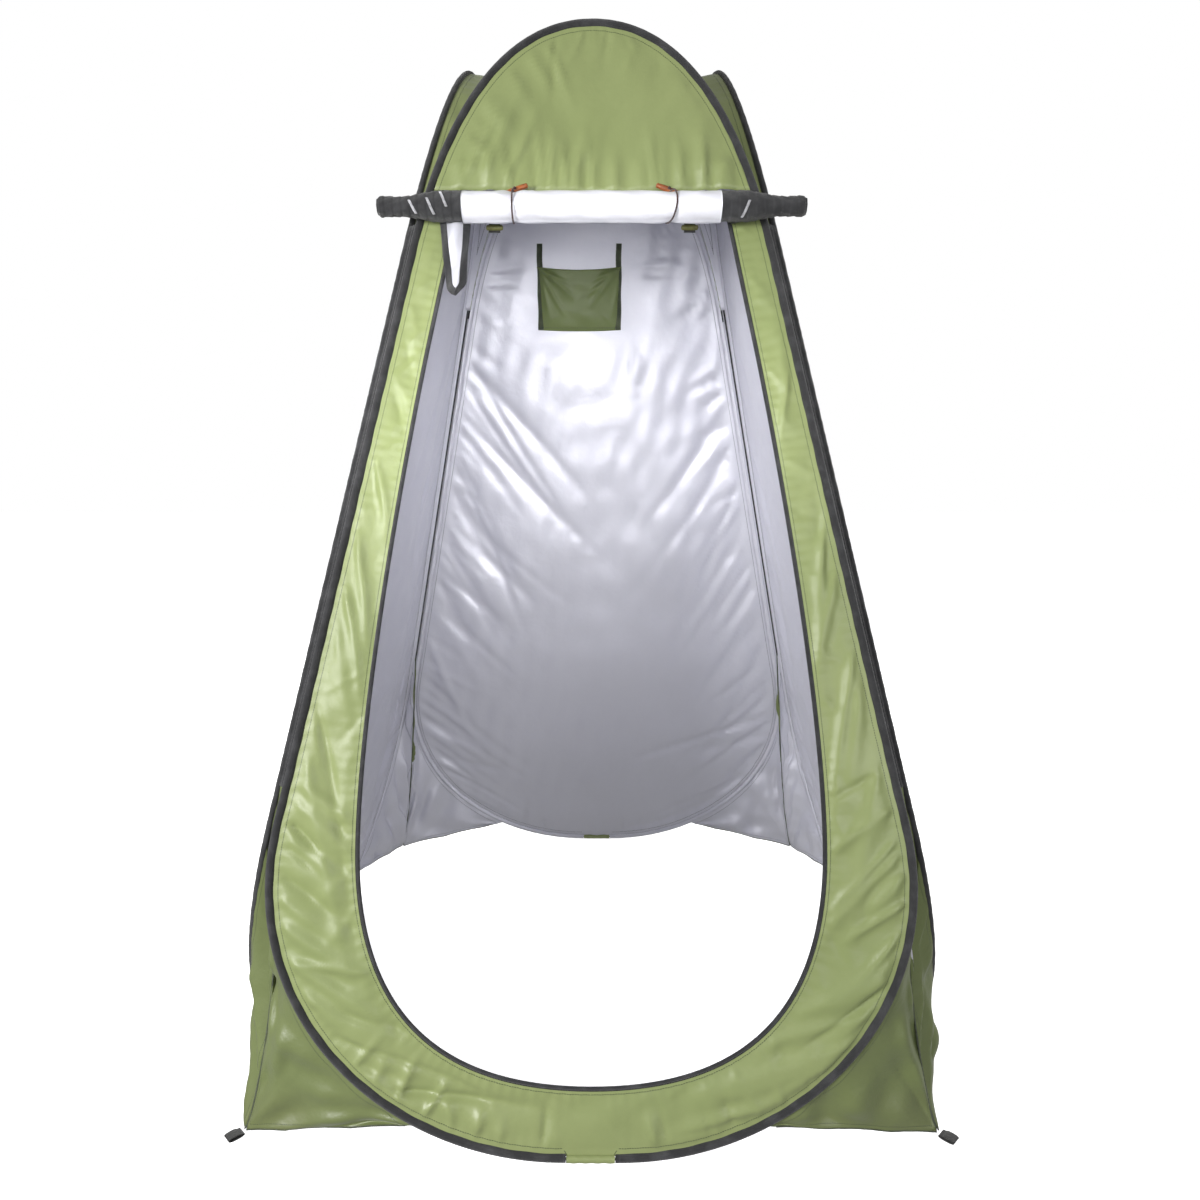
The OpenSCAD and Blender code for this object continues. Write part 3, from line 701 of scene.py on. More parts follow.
POCKET_U = 0.039
POCKET_LOW = up(1.460)
POCKET_W = 0.205
POCKET_H = 0.146
POCKET_D = 0.024
POCKET_TAPE_HALF = 0.0065
POCKET_PULLS = ((0.06, 0.02), (0.09, 0.05), (0.10, 0.085), (0.075, 0.12), (0.03, 0.135))


def behind_strap(u, s):
    """Near 1 where the left strap, swung inwards, comes close to the left wall as the tent folds."""
    return bell(u - STRAP_U, 0.075) * bell(s - up(HEAD_HEIGHT), 0.110)


def behind_pocket(u, s):
    """1 where the pocket and its tapes lie on the wall, fading to 0 around them."""
    beside = np.abs(u - POCKET_U) - POCKET_W / 2 - 0.012
    above = np.abs(s - POCKET_LOW - 0.100) - 0.115
    return 1 - smooth(np.maximum(beside, above) / 0.070)


whole_wall("right", 11, side_folds)
whole_wall("left", 12, side_folds, behind_strap)
whole_wall("back", 13, back_folds, behind_pocket)


def front_wall():
    """A band round the doorway: across it from the hoop's edge to the zip tape."""
    rng = np.random.default_rng(14)
    across = np.linspace(0, 1, 34)[None]
    top = up(HEAD_HEIGHT) - SEAM_W / 2
    outer = hoop_edge.path[hoop_edge.path[:, 1] < top]
    steps = 400
    outer_half = resampled(outer, 1e-9 + Edge(outer).run[-1] / (steps - 1))
    inner_half = resampled(door_edge.path, 1e-9 + door_edge.run[-1] / (steps - 1))
    outer_half[0, 0] = inner_half[0, 0] = 0.0
    half = outer_half[:, None] + (inner_half - outer_half)[:, None] * across[..., None]
    band = np.concatenate([half[:0:-1], half * [-1, 1]])
    u, s = band[..., 0], band[..., 1]
    folds = fan(hoop_edge, rng, (0.17, 0.38), 13, 38, 0.26, 0.0150, 0.010)
    folds += fan(hoop_edge, rng, (0.08, 0.24), 8, 18, 0.32, 0.0150, 0.012)
    folds += edge_folds(hoop_edge, rng, (0.02, 0.16), 0.040, 0, 0.10, 0.0090, 0.009)
    folds += fan(hoop_edge, rng, (0.40, 0.72), 8, 80, 0.55, 0.0090, 0.015)
    folds += edge_folds(hoop_edge, rng, (0.36, 0.74), 0.110, -60, 0.16, 0.0032, 0.013)
    folds += edge_folds(door_edge, rng, (0.05, 0.98), 0.080, -50, 0.12, 0.0030, 0.011, inward=-1)
    gap, run = hoop_edge.distance(u, s)
    door_gap, door_run = door_edge.distance(u, s)
    near = np.minimum(gap, door_gap)
    free = smooth((near - HELD) / 0.025)
    n = folded(u, s, folds) * free + ripples(u, s, rng, 0.24, 0.0040) * smooth(near / 0.09)
    n += ripples(u, s, rng, 0.07, 0.0012) * free
    n += puckers(run, gap, rng) + puckers(door_run, door_gap, rng, 0.0012, 0.017)
    marks = {"gap": near, "run": np.where(gap < door_gap, run, door_run)}
    made = wall_cloth("front", "front_wall_cloth", "front_wall", u, s, held_in(n), marks)


def arch_panel():
    rng = np.random.default_rng(15)
    low = up(HEAD_HEIGHT) + SEAM_W / 2
    u, s = panel_rows(low, 9, 81)
    folds = line_folds(rng, (-0.24, low), (0.24, low), 26, 90, 0.13, 0.0062, 0.009)
    folds += line_folds(rng, (-0.24, low + 0.01), (-0.05, low + 0.02), 5, 60, 0.22, 0.0066, 0.014)
    folds += edge_folds(hoop_edge, rng, (0.80, 0.99), 0.036, -10, 0.15, 0.0048)
    n, marks = shaped(u, s, hoop_edge, folds, rng, 0.006, 0.0010)
    n += 0.0022 * np.sin(u / 0.0075 + 2 * np.sin(u / 0.031)) * np.exp(-(s - low) / 0.035)
    made = wall_cloth("front", "front_arch_cloth", "front_arch_panel", u, s, n, marks)


front_wall()
arch_panel()

# --- corner flaps and roof -----------------------------------------------------------------------

FLAP_START = 0.33
HEM_R = 0.0015
HEM_SHARE = 0.52  # about this share of a flap's free edge lies on the floor
GATHERS = (0.0075, 0.0060, 0.0042, 0.0030)


def flattens(made, side):
    """Gives the piece its own copy of its mesh; the wall's outward way and foot are worked out and not
    used.
    """
    turn = WALLS[side]
    outwards(turn)
    on_wall(turn, 0, 0)
    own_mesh(made)


def flap_edges():
    """The right flap's edges: along the sleeve, and along the floor and up the corner seam."""
    hoop_run = np.vstack([bezier(FOOT_BEND, 60, FLAP_START), bezier(HIP_BEND, 12), [HIP_BEND[-1]]])
    hoop_run = offset(resampled(sloped(hoop_run), 0.001), SLEEVE_R - 0.002)
    inner = on_wall(0, hoop_run[:, 0], hoop_run[:, 1])
    corner = np.array([CORNER_HALF - 0.001, -CORNER_HALF, 0.001])
    hem_start = inner[0] + (corner - inner[0]) * 0.05
    top = np.array([hinge_at(FLANK_LOW) - 0.001, -hinge_at(FLANK_LOW), FLANK_LOW])
    t = np.linspace(0, 1, 60)[:, None]
    hem = hem_start + (corner - hem_start) * t
    hollow = 0.020 * np.sin(math.pi * t**0.62)
    seam = corner + (top - corner) * t + hollow * np.array([-1, 1, 0]) / math.sqrt(2)
    return inner, np.vstack([hem, seam[1:]])


def flap_depth(i, j, flat, rng):
    """How far a flap's gathers stand out: i runs along the hoop and j from the hoop to the hem."""
    pull = np.sin(math.pi * j) ** 0.7 * np.sin(math.pi * np.clip(i * 1.02, 0, 1)) ** 0.5
    waves = zip(GATHERS, rng.uniform(14, 60, 4), rng.uniform(-9, 9, 4), rng.uniform(0, 6, 4))
    gathers = sum(size * np.sin(freq * i + bend * j + phase) for size, freq, bend, phase in waves)
    crumple = ripples(flat[..., 0], flat[..., 2], rng, 0.070, 0.0042)
    return (gathers * (0.4 + j) + crumple) * pull - 0.004 * pull


def flap_grid(hand, rng):
    """One corner flap: from the hoop's sleeve to the hem on the floor and the corner seam."""
    rows, cols = 76, 30
    inner, free = flap_edges()
    a = resampled(inner, Edge(inner).run[-1] / (rows - 1))
    b = resampled(free, Edge(free).run[-1] / (rows - 1))
    i, j = np.meshgrid(np.linspace(0, 1, rows), np.linspace(0, 1, cols), indexing="ij")
    grid = a[:, None] + (b - a)[:, None] * j[..., None]
    grid = grid + flap_depth(i, j, grid, rng)[..., None] * outwards(0)
    hem_wave = 0.0035 * np.abs(np.sin(23 * i + rng.uniform(0, 3))) * (i < HEM_SHARE) * j**3
    grid[..., 2] += hem_wave * np.sin(math.pi * np.clip(i / HEM_SHARE, 0, 1)) ** 0.5
    grid[..., 2] = np.maximum(grid[..., 2], 0.0012)
    gap = np.minimum(*(np.linalg.norm(grid - grid[:, [edge]], axis=2) for edge in (-1, 0)))
    return grid * [hand, 1, 1], {"gap": gap, "run": i * Edge(free).run[-1]}


def flaps(side, seed):
    rng = np.random.default_rng(seed)
    turn = WALLS[side]
    for hand in (-1, 1):
        grid, marks = flap_grid(hand, rng)
        name = f"{side}_{word(hand)}_flap"
        # the flaps wear the green that is painted darker, as painted shade
        made = sheet(
            name, turned(grid, turn), outwards(turn), [SHADED_FLAP_GREEN, SILVER], marks=marks,
            body=f"{side}_wall_frame", slot="skirt_fabric",
            replaces=[f"{side}_skirt"] if hand > 0 else [],
        )
        # the hem runs along the floor and up the corner, where it meets the next wall's
        border = turned(grid[:, -1], turn)
        border[:, 2] = np.maximum(border[:, 2], HEM_R)
        hem = tube(
            f"{name}_hem", cord_rings(border, HEM_R, 8, 1, 0.03), [SEAM],
            body=f"{side}_wall_frame", slot="seam_binding",
        )
        flattens(made, side)
        flattens(hem, side)


ROOF_START = 0.06
ROOF_SAG = 0.022


def roof(side, seed):
    """From behind one arch to the diagonals where the next wall's roof begins."""
    rng = np.random.default_rng(seed)
    arch = resampled(np.vstack([bezier(ARCH_BEND, 60, ROOF_START), [ARCH_BEND[-1]]]), 0.009)
    arch = np.vstack([arch, arch[-2::-1] * [-1, 1]])
    half, z = arch[:, 0], arch[:, 1]
    reach = np.minimum(np.abs(half), hinge_at(z) - 0.004)
    edge = np.stack([half, -(plane_at(z) - SLEEVE_R + 0.003), z], 1)
    share = reach / reach[0]
    ridge = np.stack([np.sign(half) * reach, -reach - 0.0002, z - ROOF_SAG * (1 - share) - 0.001], 1)
    t = np.linspace(0, 1, 24)[None, :, None]
    grid = edge[:, None] + (ridge - edge)[:, None] * t
    normal = surface_normals(grid)
    normal = normal * np.sign(normal[..., 2:])
    span = np.linalg.norm(ridge - edge, axis=1)[:, None]
    gap = np.minimum(t[..., 0], 1 - t[..., 0]) * span
    run = run_along(edge)[:, None] + 0 * gap
    sag = 0.10 * span * 4 * t[..., 0] * (1 - t[..., 0]) * smooth(span / 0.15)
    x, y = grid[..., 0], grid[..., 1]
    depth = -0.35 * sag + ripples(x, y + grid[..., 2], rng, 0.10, 0.0022) * smooth(gap / 0.03)
    depth += puckers(run, t[..., 0] * span, rng, 0.0016, 0.026)
    grid = grid + depth[..., None] * normal
    made = sheet(
        f"{side}_roof_cloth", turned(grid, WALLS[side]), np.array([0, 0, 1.0]), [GREEN, SILVER],
        marks={"gap": gap, "run": run},
        body=f"{side}_wall_frame", slot="green_fabric", replaces=[f"{side}_roof"],
    )
    flattens(made, side)


for number, side in enumerate(WALLS):
    flaps(side, 20 + number)
    roof(side, 30 + number)

# --- sleeves, seams and zip tape -----------------------------------------------------------------

BINDING_R = 0.0057
PATCH_R = 0.0062


def sleeve_section(run, rng):
    """A bound sleeve round the wire, with the stitched edge of its binding on the cloth's side."""
    angle = np.radians(np.linspace(-140, 140, 15))
    gathers = np.sin(run / 0.0043 + 3 * np.sin(run / 0.031))[:, None]
    r = BINDING_R * (1 + 0.045 * gathers * np.cos(2 * angle + 0.6))
    section = np.stack([r * np.cos(angle), r * np.sin(angle)], -1)
    lip = 0.0080 + 0.0004 * np.sin(run / 0.009 + rng.uniform(0, 6))
    flange = np.stack([np.stack([-lip, 0 * lip + k * 0.0012], -1) for k in (1, -1)], 1)
    return np.concatenate([section, flange], 1)


def sleeve(side, seed):
    rng = np.random.default_rng(seed)
    half = half_hoop(0.0075, PATCH_HALF)
    path = mirrored(half)
    run = run_along(path)
    rings = swept(WALLS[side], path, sleeve_section(run, rng))
    # inside the tent the cloth's coating covers the sleeve, all but a line at its edge
    around = np.arange(rings.shape[1])[None]
    height = path[:-1, 1:] * COS
    inside = height < FLANK_HIGH
    if side in ("left", "right"):
        inside &= (height < HIP_HEIGHT / 2) | (height > FLANK_LOW)
    lined = (around < np.where(inside, 6, 3)) | (around == rings.shape[1] - 1)
    tube(
        f"{side}_sleeve_binding", rings, [BINDING, SILVER], which=lined.ravel().astype(int),
        body=f"{side}_wall_frame", slot="black_binding", replaces=[f"{side}_sleeve"],
    )
    foot_patch(side, rng)


def foot_patch(side, rng):
    """Cloth round the wire's joint, in world axes: y across the hoop's plane, z flat on the floor."""
    u = np.linspace(-PATCH_HALF + 0.001, PATCH_HALF - 0.001, 33)
    angle = round_turn(28)
    puff = 1 + 0.05 * np.sin(u / 0.0031 + rng.uniform(0, 6))[:, None] * np.cos(3 * angle + 1)
    r = PATCH_R * puff
    y = -plane_at(SLEEVE_R) + r * np.cos(angle)
    z = np.maximum(SLEEVE_R + r * np.sin(angle), 0.0002)
    rings = np.stack([u[:, None] + 0 * y, y, z], -1)
    tube(
        f"{side}_foot_patch", turned(rings, WALLS[side]), [GREEN],
        body=f"{side}_wall_frame", slot="green_fabric", replaces=[f"{side}_sleeve_patch"],
    )


for number, side in enumerate(WALLS):
    sleeve(side, 40 + number)


def head_seam():
    """The gathered seam that the door and the arch panel share."""
    half = np.interp(up(HEAD_HEIGHT), hoop_edge.path[::-1, 1][::-1], hoop_edge.path[:, 0])
    u = np.linspace(-half, half, 240)
    path = np.stack([u, up(HEAD_HEIGHT) + 0.0007 * np.sin(u / 0.017)], 1)
    swell = 1 + 0.22 * np.sin(u / 0.0040 + 2 * np.sin(u / 0.027))
    angle = round_turn(12)
    section = np.stack([
        np.broadcast_to(SEAM_W / 2 * np.cos(angle), (len(u), 12)),
        0.0015 * swell[:, None] * np.sin(angle),
    ], -1)
    tube(
        "head_seam_binding", swept(0, path, section), [SEAM],
        body="front_wall_frame", slot="seam_binding", replaces=["head_seam"],
    )


def zip_tape():
    """The woven tape round the doorway, with the zip's coil along its inner edge."""
    half = half_door(0.0100)
    half = half[half[:, 1] < up(HEAD_HEIGHT) - SEAM_W / 2]
    path = mirrored(half)
    above = [(0.0004, 0.0012), (0.0045, 0.0014), (TAPE_W, 0.0010)]
    below = [(across, -n) for across, n in above[::-1]]
    tape = swept(0, path, np.array(above + below))
    fine = resampled(path, 0.0013)
    angle = round_turn(6)
    ribs = (0.0011 + 0.0004 * (np.arange(len(fine)) % 2))[:, None]
    coil = swept(0, fine, np.stack([0.0006 + ribs * np.cos(angle), ribs * 1.15 * np.sin(angle)], -1))
    parts = [(rings, capped(*rings.shape[:2])) for rings in (tape, coil)]
    which = np.repeat([0, 1], [len(faces) for _, faces in parts])
    points, faces = joined(parts)
    piece(
        "door_zip", points, faces, [BINDING, COIL], which,
        body="front_wall_frame", slot="black_binding", replaces=["door_zip_tape"],
    )


head_seam()
zip_tape()


SEAM_REACH = 0.0090  # half width of a corner's seam allowance
SEAM_LINE = 0.0022  # half width of the dark line down the inside of a corner


def corner_strip(name, node, turn, bodies, ends=(-1, 1), middle=0.0, inward=0.0):
    """The seam allowance that joins two walls' sleeves at a corner, with a rolled cord down it."""
    z = np.linspace(FLANK_LOW - 0.02, FLANK_HIGH + 0.05, 90)
    cols = np.linspace(*ends, 13)[None]
    side = SEAM_REACH * cols + 0 * z[:, None]
    cord = bell(cols - middle, 0.28) * (0.0026 + 0.0003 * np.sin(z / 0.006))[:, None]
    corner = hinge_at(z)[:, None] * math.sqrt(2) + 0.004 * cols**2 + cord - inward
    # laid out with x along the diagonal through the corner and y across it
    points = turned(np.stack([corner, side, z[:, None] + 0 * side], -1), turn - 45)
    out, sideways = turned(np.eye(3)[:2], turn - 45)
    made = sheet(name, points, out, [BINDING, SILVER], thick=0.0016, slot="seam_binding")
    for face in made.data.polygons:
        if face.material_index and abs(np.array(face.center) @ sideways) < SEAM_LINE:
            face.material_index = 0
    if len(bodies) == 1:
        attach(made, bodies[0])
    else:
        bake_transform(made)
    if node:
        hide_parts(node)


corner_strip("front_right_corner", "front_right_seam", 0, ["front_wall_frame", "right_wall_frame"])
corner_strip("back_right_corner", "back_right_seam", 90, ["right_wall_frame", "back_wall_frame"])
corner_strip("front_left_corner", "front_left_seam", 270, ["left_wall_frame", "front_wall_frame"])
corner_strip("back_left_corner", "back_left_seam", 180, ["back_wall_frame"], (-1, -0.14), -0.38)
corner_strip("back_left_corner_flange", None, 180, ["left_wall_frame"], (-0.24, 1), 9, 0.003)

# --- rolled door ---------------------------------------------------------------------------------

ROLL_UP = up(HEAD_HEIGHT - 0.036)
ROLL_OUT = ROLL_R + 0.009


def roll_points(u, angle, radius):
    """World points round the roll's axis: angle 0 is down the slope, 90 degrees outwards."""
    return on_wall(0, u, ROLL_UP - radius * np.cos(angle), ROLL_OUT + radius * np.sin(angle))


def door_roll():
    rng = np.random.default_rng(50)
    u = np.linspace(-ROLL_HALF, ROLL_HALF, 150)[:, None]
    angle = round_turn(64)[None]
    lap = 0.0016 * smooth((angle - 4.0) / 0.15)
    r = ROLL_R - 0.0012 + lap
    r = r + 0.0005 * np.sin(3 * angle + u * 18) + 0.0004 * np.sin(u / 0.011 + 5 * angle)
    folds = [
        (np.array([a, b]), np.array([a + da, b + db]), 0.007, h)
        for a, b, da, db, h in zip(
            rng.uniform(-0.22, 0.2, 34), rng.uniform(0, 0.16, 34), rng.uniform(-0.05, 0.05, 34),
            rng.uniform(0.02, 0.05, 34) * rng.choice([-1, 1], 34), rng.uniform(-0.0018, 0.0020, 34),
        )
    ]
    r = r + folded(u + 0 * angle, angle * ROLL_R + 0 * u, folds)
    for tie in (-TIE_U, TIE_U):
        r = r - 0.0020 * bell(u - tie, 0.010)
    # the roll wears the coating that is painted lighter, as painted light
    made = tube(
        "door_roll_cloth", roll_points(u, angle, r), [LIT_ROLL_COATING],
        body="rolled_door", slot="silver_lining", replaces=["door_roll"],
    )


def head_strip():
    """The top of the door, from the head seam down to the back of the roll."""
    u = np.linspace(-ROLL_HALF, ROLL_HALF, 150)[:, None]
    t = np.linspace(0, 1, 8)[None]
    top, foot = up(HEAD_HEIGHT) - 0.004, ROLL_UP + 0.010
    n = 0.0022 + (ROLL_OUT - 0.021 - 0.0022) * t + 0.0009 * np.sin(u / 0.006 + 2 * np.sin(u / 0.04))
    strip = sheet(
        "door_head_strip", on_wall(0, u, top + (foot - top) * t, n), outwards(0), [SILVER, GREEN],
        body="rolled_door", slot="silver_lining",
    )


def bundle_radius(run):
    """The wound tape's radius at a distance from the end of the roll."""
    return 0.0240 - 0.0085 * smooth((run - 0.03) / 0.085)


def zip_bundle(hand):
    """The door's zip tape, wound up on itself at the end of the roll, each turn a step further out."""
    rng = np.random.default_rng(52 + hand)
    run = np.linspace(0, BUNDLE_LEN, 110)[:, None]
    angle = round_turn(48)[None]
    step = (run + 0.004 * angle / math.tau * hand) / 0.0145
    edge = step - np.floor(step)
    r = bundle_radius(run) + 0.0013 * (1 - edge) - 0.0010 * bell(edge, 0.10)
    r = r + 0.0007 * np.sin(2 * angle + run * 60) + 0.0004 * np.sin(7 * angle + run * 210)
    r = r - 0.0035 * smooth((run - BUNDLE_LEN + 0.006) / 0.006)
    rings = roll_points(hand * (ROLL_HALF + 0.0004 + run), angle, r)
    made = tube(
        f"door_zip_wound_{word(hand)}", rings[::hand], [BINDING],
        body="rolled_door", slot="black_binding", replaces=[f"door_zip_bundle_{word(hand)}"],
    )
    bundle_glint_teeth(hand, rng)


def bundle_glint_teeth(hand, rng):
    """Short runs of the zip's teeth where they show on the wound tape, drawn near white as painted
    glints: along the doorway the same coil is black.
    """
    parts = []
    for place in (0.030, 0.052, 0.083) if hand < 0 else (0.040,):
        centre = 1.2 + rng.uniform(-0.3, 0.5)
        for angle in np.linspace(centre - 0.55, centre + 0.55, 26):
            at = place + 0.010 * (angle - centre)
            line = np.array([
                roll_points(hand * (ROLL_HALF + at + d), angle, bundle_radius(at) + 0.0014 + lift)
                for d, lift in ((-0.0022, 0), (0, 0.0008), (0.0022, 0))
            ])
            parts.append((cord_rings(line, 0.0004, 5), quads(3, 5, wrap_cols=True)))
    points, faces = joined(parts)
    piece(
        f"door_zip_glint_teeth_{word(hand)}", points, faces, [GLINT_TEETH], body="rolled_door", slot="zip_metal"
    )


door_roll()
head_strip()
zip_bundle(-1)
zip_bundle(1)


def loose_fold():
    """A fold of the door that hangs out of the roll, edged on both sides by its zip tape."""
    drop, top_half, tape_width = 0.130, 0.026, 0.0105

    def half_at(t):
        return top_half * (1 - 0.42 * t) * np.sqrt(1 - ((t - 0.86) / 0.14).clip(0, 0.995) ** 2)

    def place(t, across, lift=0.0):
        u = -0.236 + 0.004 * t + half_at(t) * across
        s = ROLL_UP - 0.014 - drop * t + 0.004 * across
        n = ROLL_OUT - 0.016 + 0.006 * np.cos(2.6 * across) * (1 - 0.5 * t)
        n = n + 0.003 * np.sin(9 * t + 3 * across)
        return on_wall(0, u, s, n + lift)

    t = np.linspace(0, 1, 48)[:, None]
    cloth = sheet(
        "door_loose_cloth", place(t, np.linspace(-1, 1, 25)[None]), outwards(0), [SILVER, GREEN],
        body="rolled_door", slot="silver_lining", replaces=["door_loose_fold"],
    )
    # the tape runs down the left edge, round the tip and up the right edge
    share = np.linspace(0, 1, 7)[None]
    across = 1.03 - share * (0.03 + np.minimum(1, tape_width / half_at(t)))
    crown = 0.0014 + 0.0005 * np.sin(math.pi * share)
    band = np.concatenate([place(t, -across, crown), place(t, across, crown)[-2::-1]])
    tape = sheet(
        "door_loose_tape", band, outwards(0), [BINDING, BINDING], thick=0.0016,
        body="rolled_door", slot="black_binding",
    )


loose_fold()

# --- ties, straps, pocket and peg loops ----------------------------------------------------------

KNOT_R = 0.0028
TOGGLE_HALF = 0.024
TOGGLE_OUT = 0.011  # from the wall's plane to the toggle's axis
BEAD_HALF = 0.015
STRAP_TOP = HEAD_HEIGHT - 0.008
STRAP_Y = -plane_at(STRAP_TOP) + 0.007  # inside the front wall's plane


def tie(hand):
    """Elastic round the roll, drawn aslant on the right one, and the end that holds the toggle."""
    angle = round_turn(120)
    lean = 0.010 * (hand > 0) * np.sin(angle)
    r = ROLL_R + 0.0004 + 0.0004 * np.sin(3 * angle)
    path = roll_points(hand * TIE_U + lean, angle, r)
    loop = np.vstack([path, path[:1]])
    rings = cord_rings(loop, 0.0016)[:-1]
    tube(
        f"tie_elastic_{word(hand)}", rings, [ELASTIC], closed=True,
        body="rolled_door", slot="dark_elastic", replaces=[f"tie_loop_{word(hand)}"],
    )
    start = up(HEAD_HEIGHT + 0.006)
    t = np.linspace(0, 1, 24)
    rise = 0.009 * (smooth(2 * t) - 1)
    bend = np.stack([hand * TIE_U + 0 * t, start + rise, 0.0024 + 0.0146 * smooth(1.6 * t - 0.6)], 1)
    rings = cord_rings(on_wall(0, *bend.T), 0.0015)
    a, b = np.meshgrid(round_turn(16), np.linspace(0.15, math.pi - 0.15, 10))
    lump = KNOT_R * (1 + 0.12 * np.sin(3 * a + 2 * b))
    ball = lump * np.array([np.sin(b) * np.cos(a), np.sin(b) * np.sin(a), np.cos(b)])
    u, s, n = ball + bend[-1][:, None, None]
    knot = on_wall(0, u, s, n + 0.001)
    points, faces = joined([(part, capped(*part.shape[:2])) for part in (rings, knot)])
    piece(
        f"tie_end_{word(hand)}", points, faces, [ELASTIC],
        body="front_wall_frame", slot="dark_elastic", replaces=[f"tie_anchor_{word(hand)}"],
    )


def rounded(r, x, start, width):
    """The radii r with both ends rounded off from this distance from the middle."""
    return r * np.sqrt(np.clip(1 - ((np.abs(x) - start) / width).clip(0) ** 2, 0.04, 1))


def toggle(hand):
    """A turned barrel with a groove near each end, threaded across its middle."""
    x = np.linspace(-TOGGLE_HALF, TOGGLE_HALF, 61)
    r = 0.0050 - 0.0011 * (np.abs(x) / TOGGLE_HALF) ** 2.4
    r = r - 0.0005 * bell(np.abs(x) - 0.0185, 0.0008)
    r = rounded(r, x, 0.0222, 0.0019) - 0.0006 * bell(x, 0.003)
    angle = round_turn(28)
    tilt = math.radians(-hand * 22)
    along, side, out = x[:, None], r[:, None] * np.cos(angle), r[:, None] * np.sin(angle)
    u = hand * TIE_U + along * math.cos(tilt) - side * math.sin(tilt)
    s = up(HEAD_HEIGHT + 0.006) + along * math.sin(tilt) + side * math.cos(tilt)
    tube(
        f"toggle_{word(hand)}", on_wall(0, u, s, TOGGLE_OUT + out), [TOGGLE],
        body=f"tie_toggle_{word(hand)}", slot="brown_toggle", replaces=[f"tie_toggle_{word(hand)}"],
    )


def strap(hand):
    """Webbing folded double, sewn at the head of the doorway and hemmed at its end."""
    z = np.linspace(0.0012, -0.0505, 40)[:, None]
    w = np.linspace(-0.010, 0.010, 21)[None]
    half = 0.00045 + 0.00018 * np.cos(w / 0.0011 * math.pi) + 0.0009 * (z < -0.047)
    layers = np.array([
        np.stack([hand * STRAP_U + w + 0 * y, y, STRAP_TOP + z + 0 * y], -1)
        for y in (STRAP_Y + half, STRAP_Y - half)
    ])
    rows, cols = half.shape
    faces = quads(rows, cols)
    edge = rim(rows, cols)
    after = np.roll(edge, -1)
    side = np.stack([edge, after, after + rows * cols, edge + rows * cols], 1)
    every = np.concatenate([faces[:, ::-1] + rows * cols, faces, side[:, ::-1]])
    piece(
        f"strap_{word(hand)}", layers, every, [WEBBING],
        body=f"hang_strap_{word(hand)}", slot="black_webbing", replaces=[f"hang_strap_{word(hand)}"],
    )


def bead(hand):
    x = np.linspace(-BEAD_HALF, BEAD_HALF, 41)
    r = rounded(0.0050 - 0.0010 * (np.abs(x) / BEAD_HALF) ** 3, x, 0.0130, 0.0021)[:, None]
    angle = round_turn(28)
    y, z = STRAP_Y + r * np.cos(angle), STRAP_TOP - 0.042 + r * np.sin(angle)
    tube(
        f"bead_{word(hand)}", np.stack([hand * STRAP_U + x[:, None] + 0 * y, y, z], -1), [BEAD],
        body=f"hang_strap_{word(hand)}", slot="olive_bead", replaces=[f"hang_bead_{word(hand)}"],
    )


for hand in (-1, 1):
    tie(hand)
    toggle(hand)
    strap(hand)
    bead(hand)


def pocket():
    """A bag of thin cloth on the back wall: its front hangs in pulls from the two top corners."""
    rng = np.random.default_rng(60)
    a = np.linspace(-1, 1, 61)[None]
    t = np.linspace(0, 1, 45)[:, None]
    u = POCKET_U + POCKET_W / 2 * a * (1 - 0.025 * np.sin(math.pi * t)) + 0 * t
    s = POCKET_LOW + POCKET_H * t - 0.007 * (1 - a**2) * t**3 + 0.003 * (a**2 - 1) * (1 - t) ** 6
    bulge = (1 - np.abs(a) ** 5) * (1 - (1 - t) ** 6)
    local_u, local_s = u - POCKET_U + 0 * s, s - POCKET_LOW + 0 * u
    folds = []
    for hand in (-1, 1):
        corner = np.array([hand * POCKET_W * 0.49, POCKET_H])
        for reach_u, reach_s in POCKET_PULLS:
            tip = corner - [hand * reach_u, reach_s] + rng.uniform(-0.012, 0.012, 2)
            folds.append((corner, tip, 0.0060, 0.0062))
        foot = np.array([hand * POCKET_W * 0.45, 0.004])
        folds.append((foot, foot + [-hand * 0.05, 0.045], 0.008, 0.003))
    n = -0.0015 - (POCKET_D - 0.010) * bulge * (0.55 + 0.45 * t)
    n = n - folded(local_u, local_s, folds) * bulge
    n = n + ripples(local_u, local_s, rng, 0.05, 0.0009) * bulge
    gap = np.minimum(np.minimum(POCKET_H - local_s, local_s), POCKET_W / 2 - np.abs(local_u))
    front = sheet(
        "pocket_cloth", on_wall(180, u, s, n), -outwards(180), [POCKET, POCKET],
        marks={"gap": gap + 0.006, "run": local_u + local_s},
        body="back_wall_frame", slot="pocket_fabric", replaces=["pocket"],
    )
    hem_path = np.stack([u[-1] + 0 * s[-1], s[-1], n[-1]], 1)
    rings = cord_rings(on_wall(180, *hem_path.T), 0.0019, 8, 1, 0.05)
    hem = tube("pocket_hem", rings, [POCKET], body="back_wall_frame", slot="pocket_fabric")
    pocket_tapes()


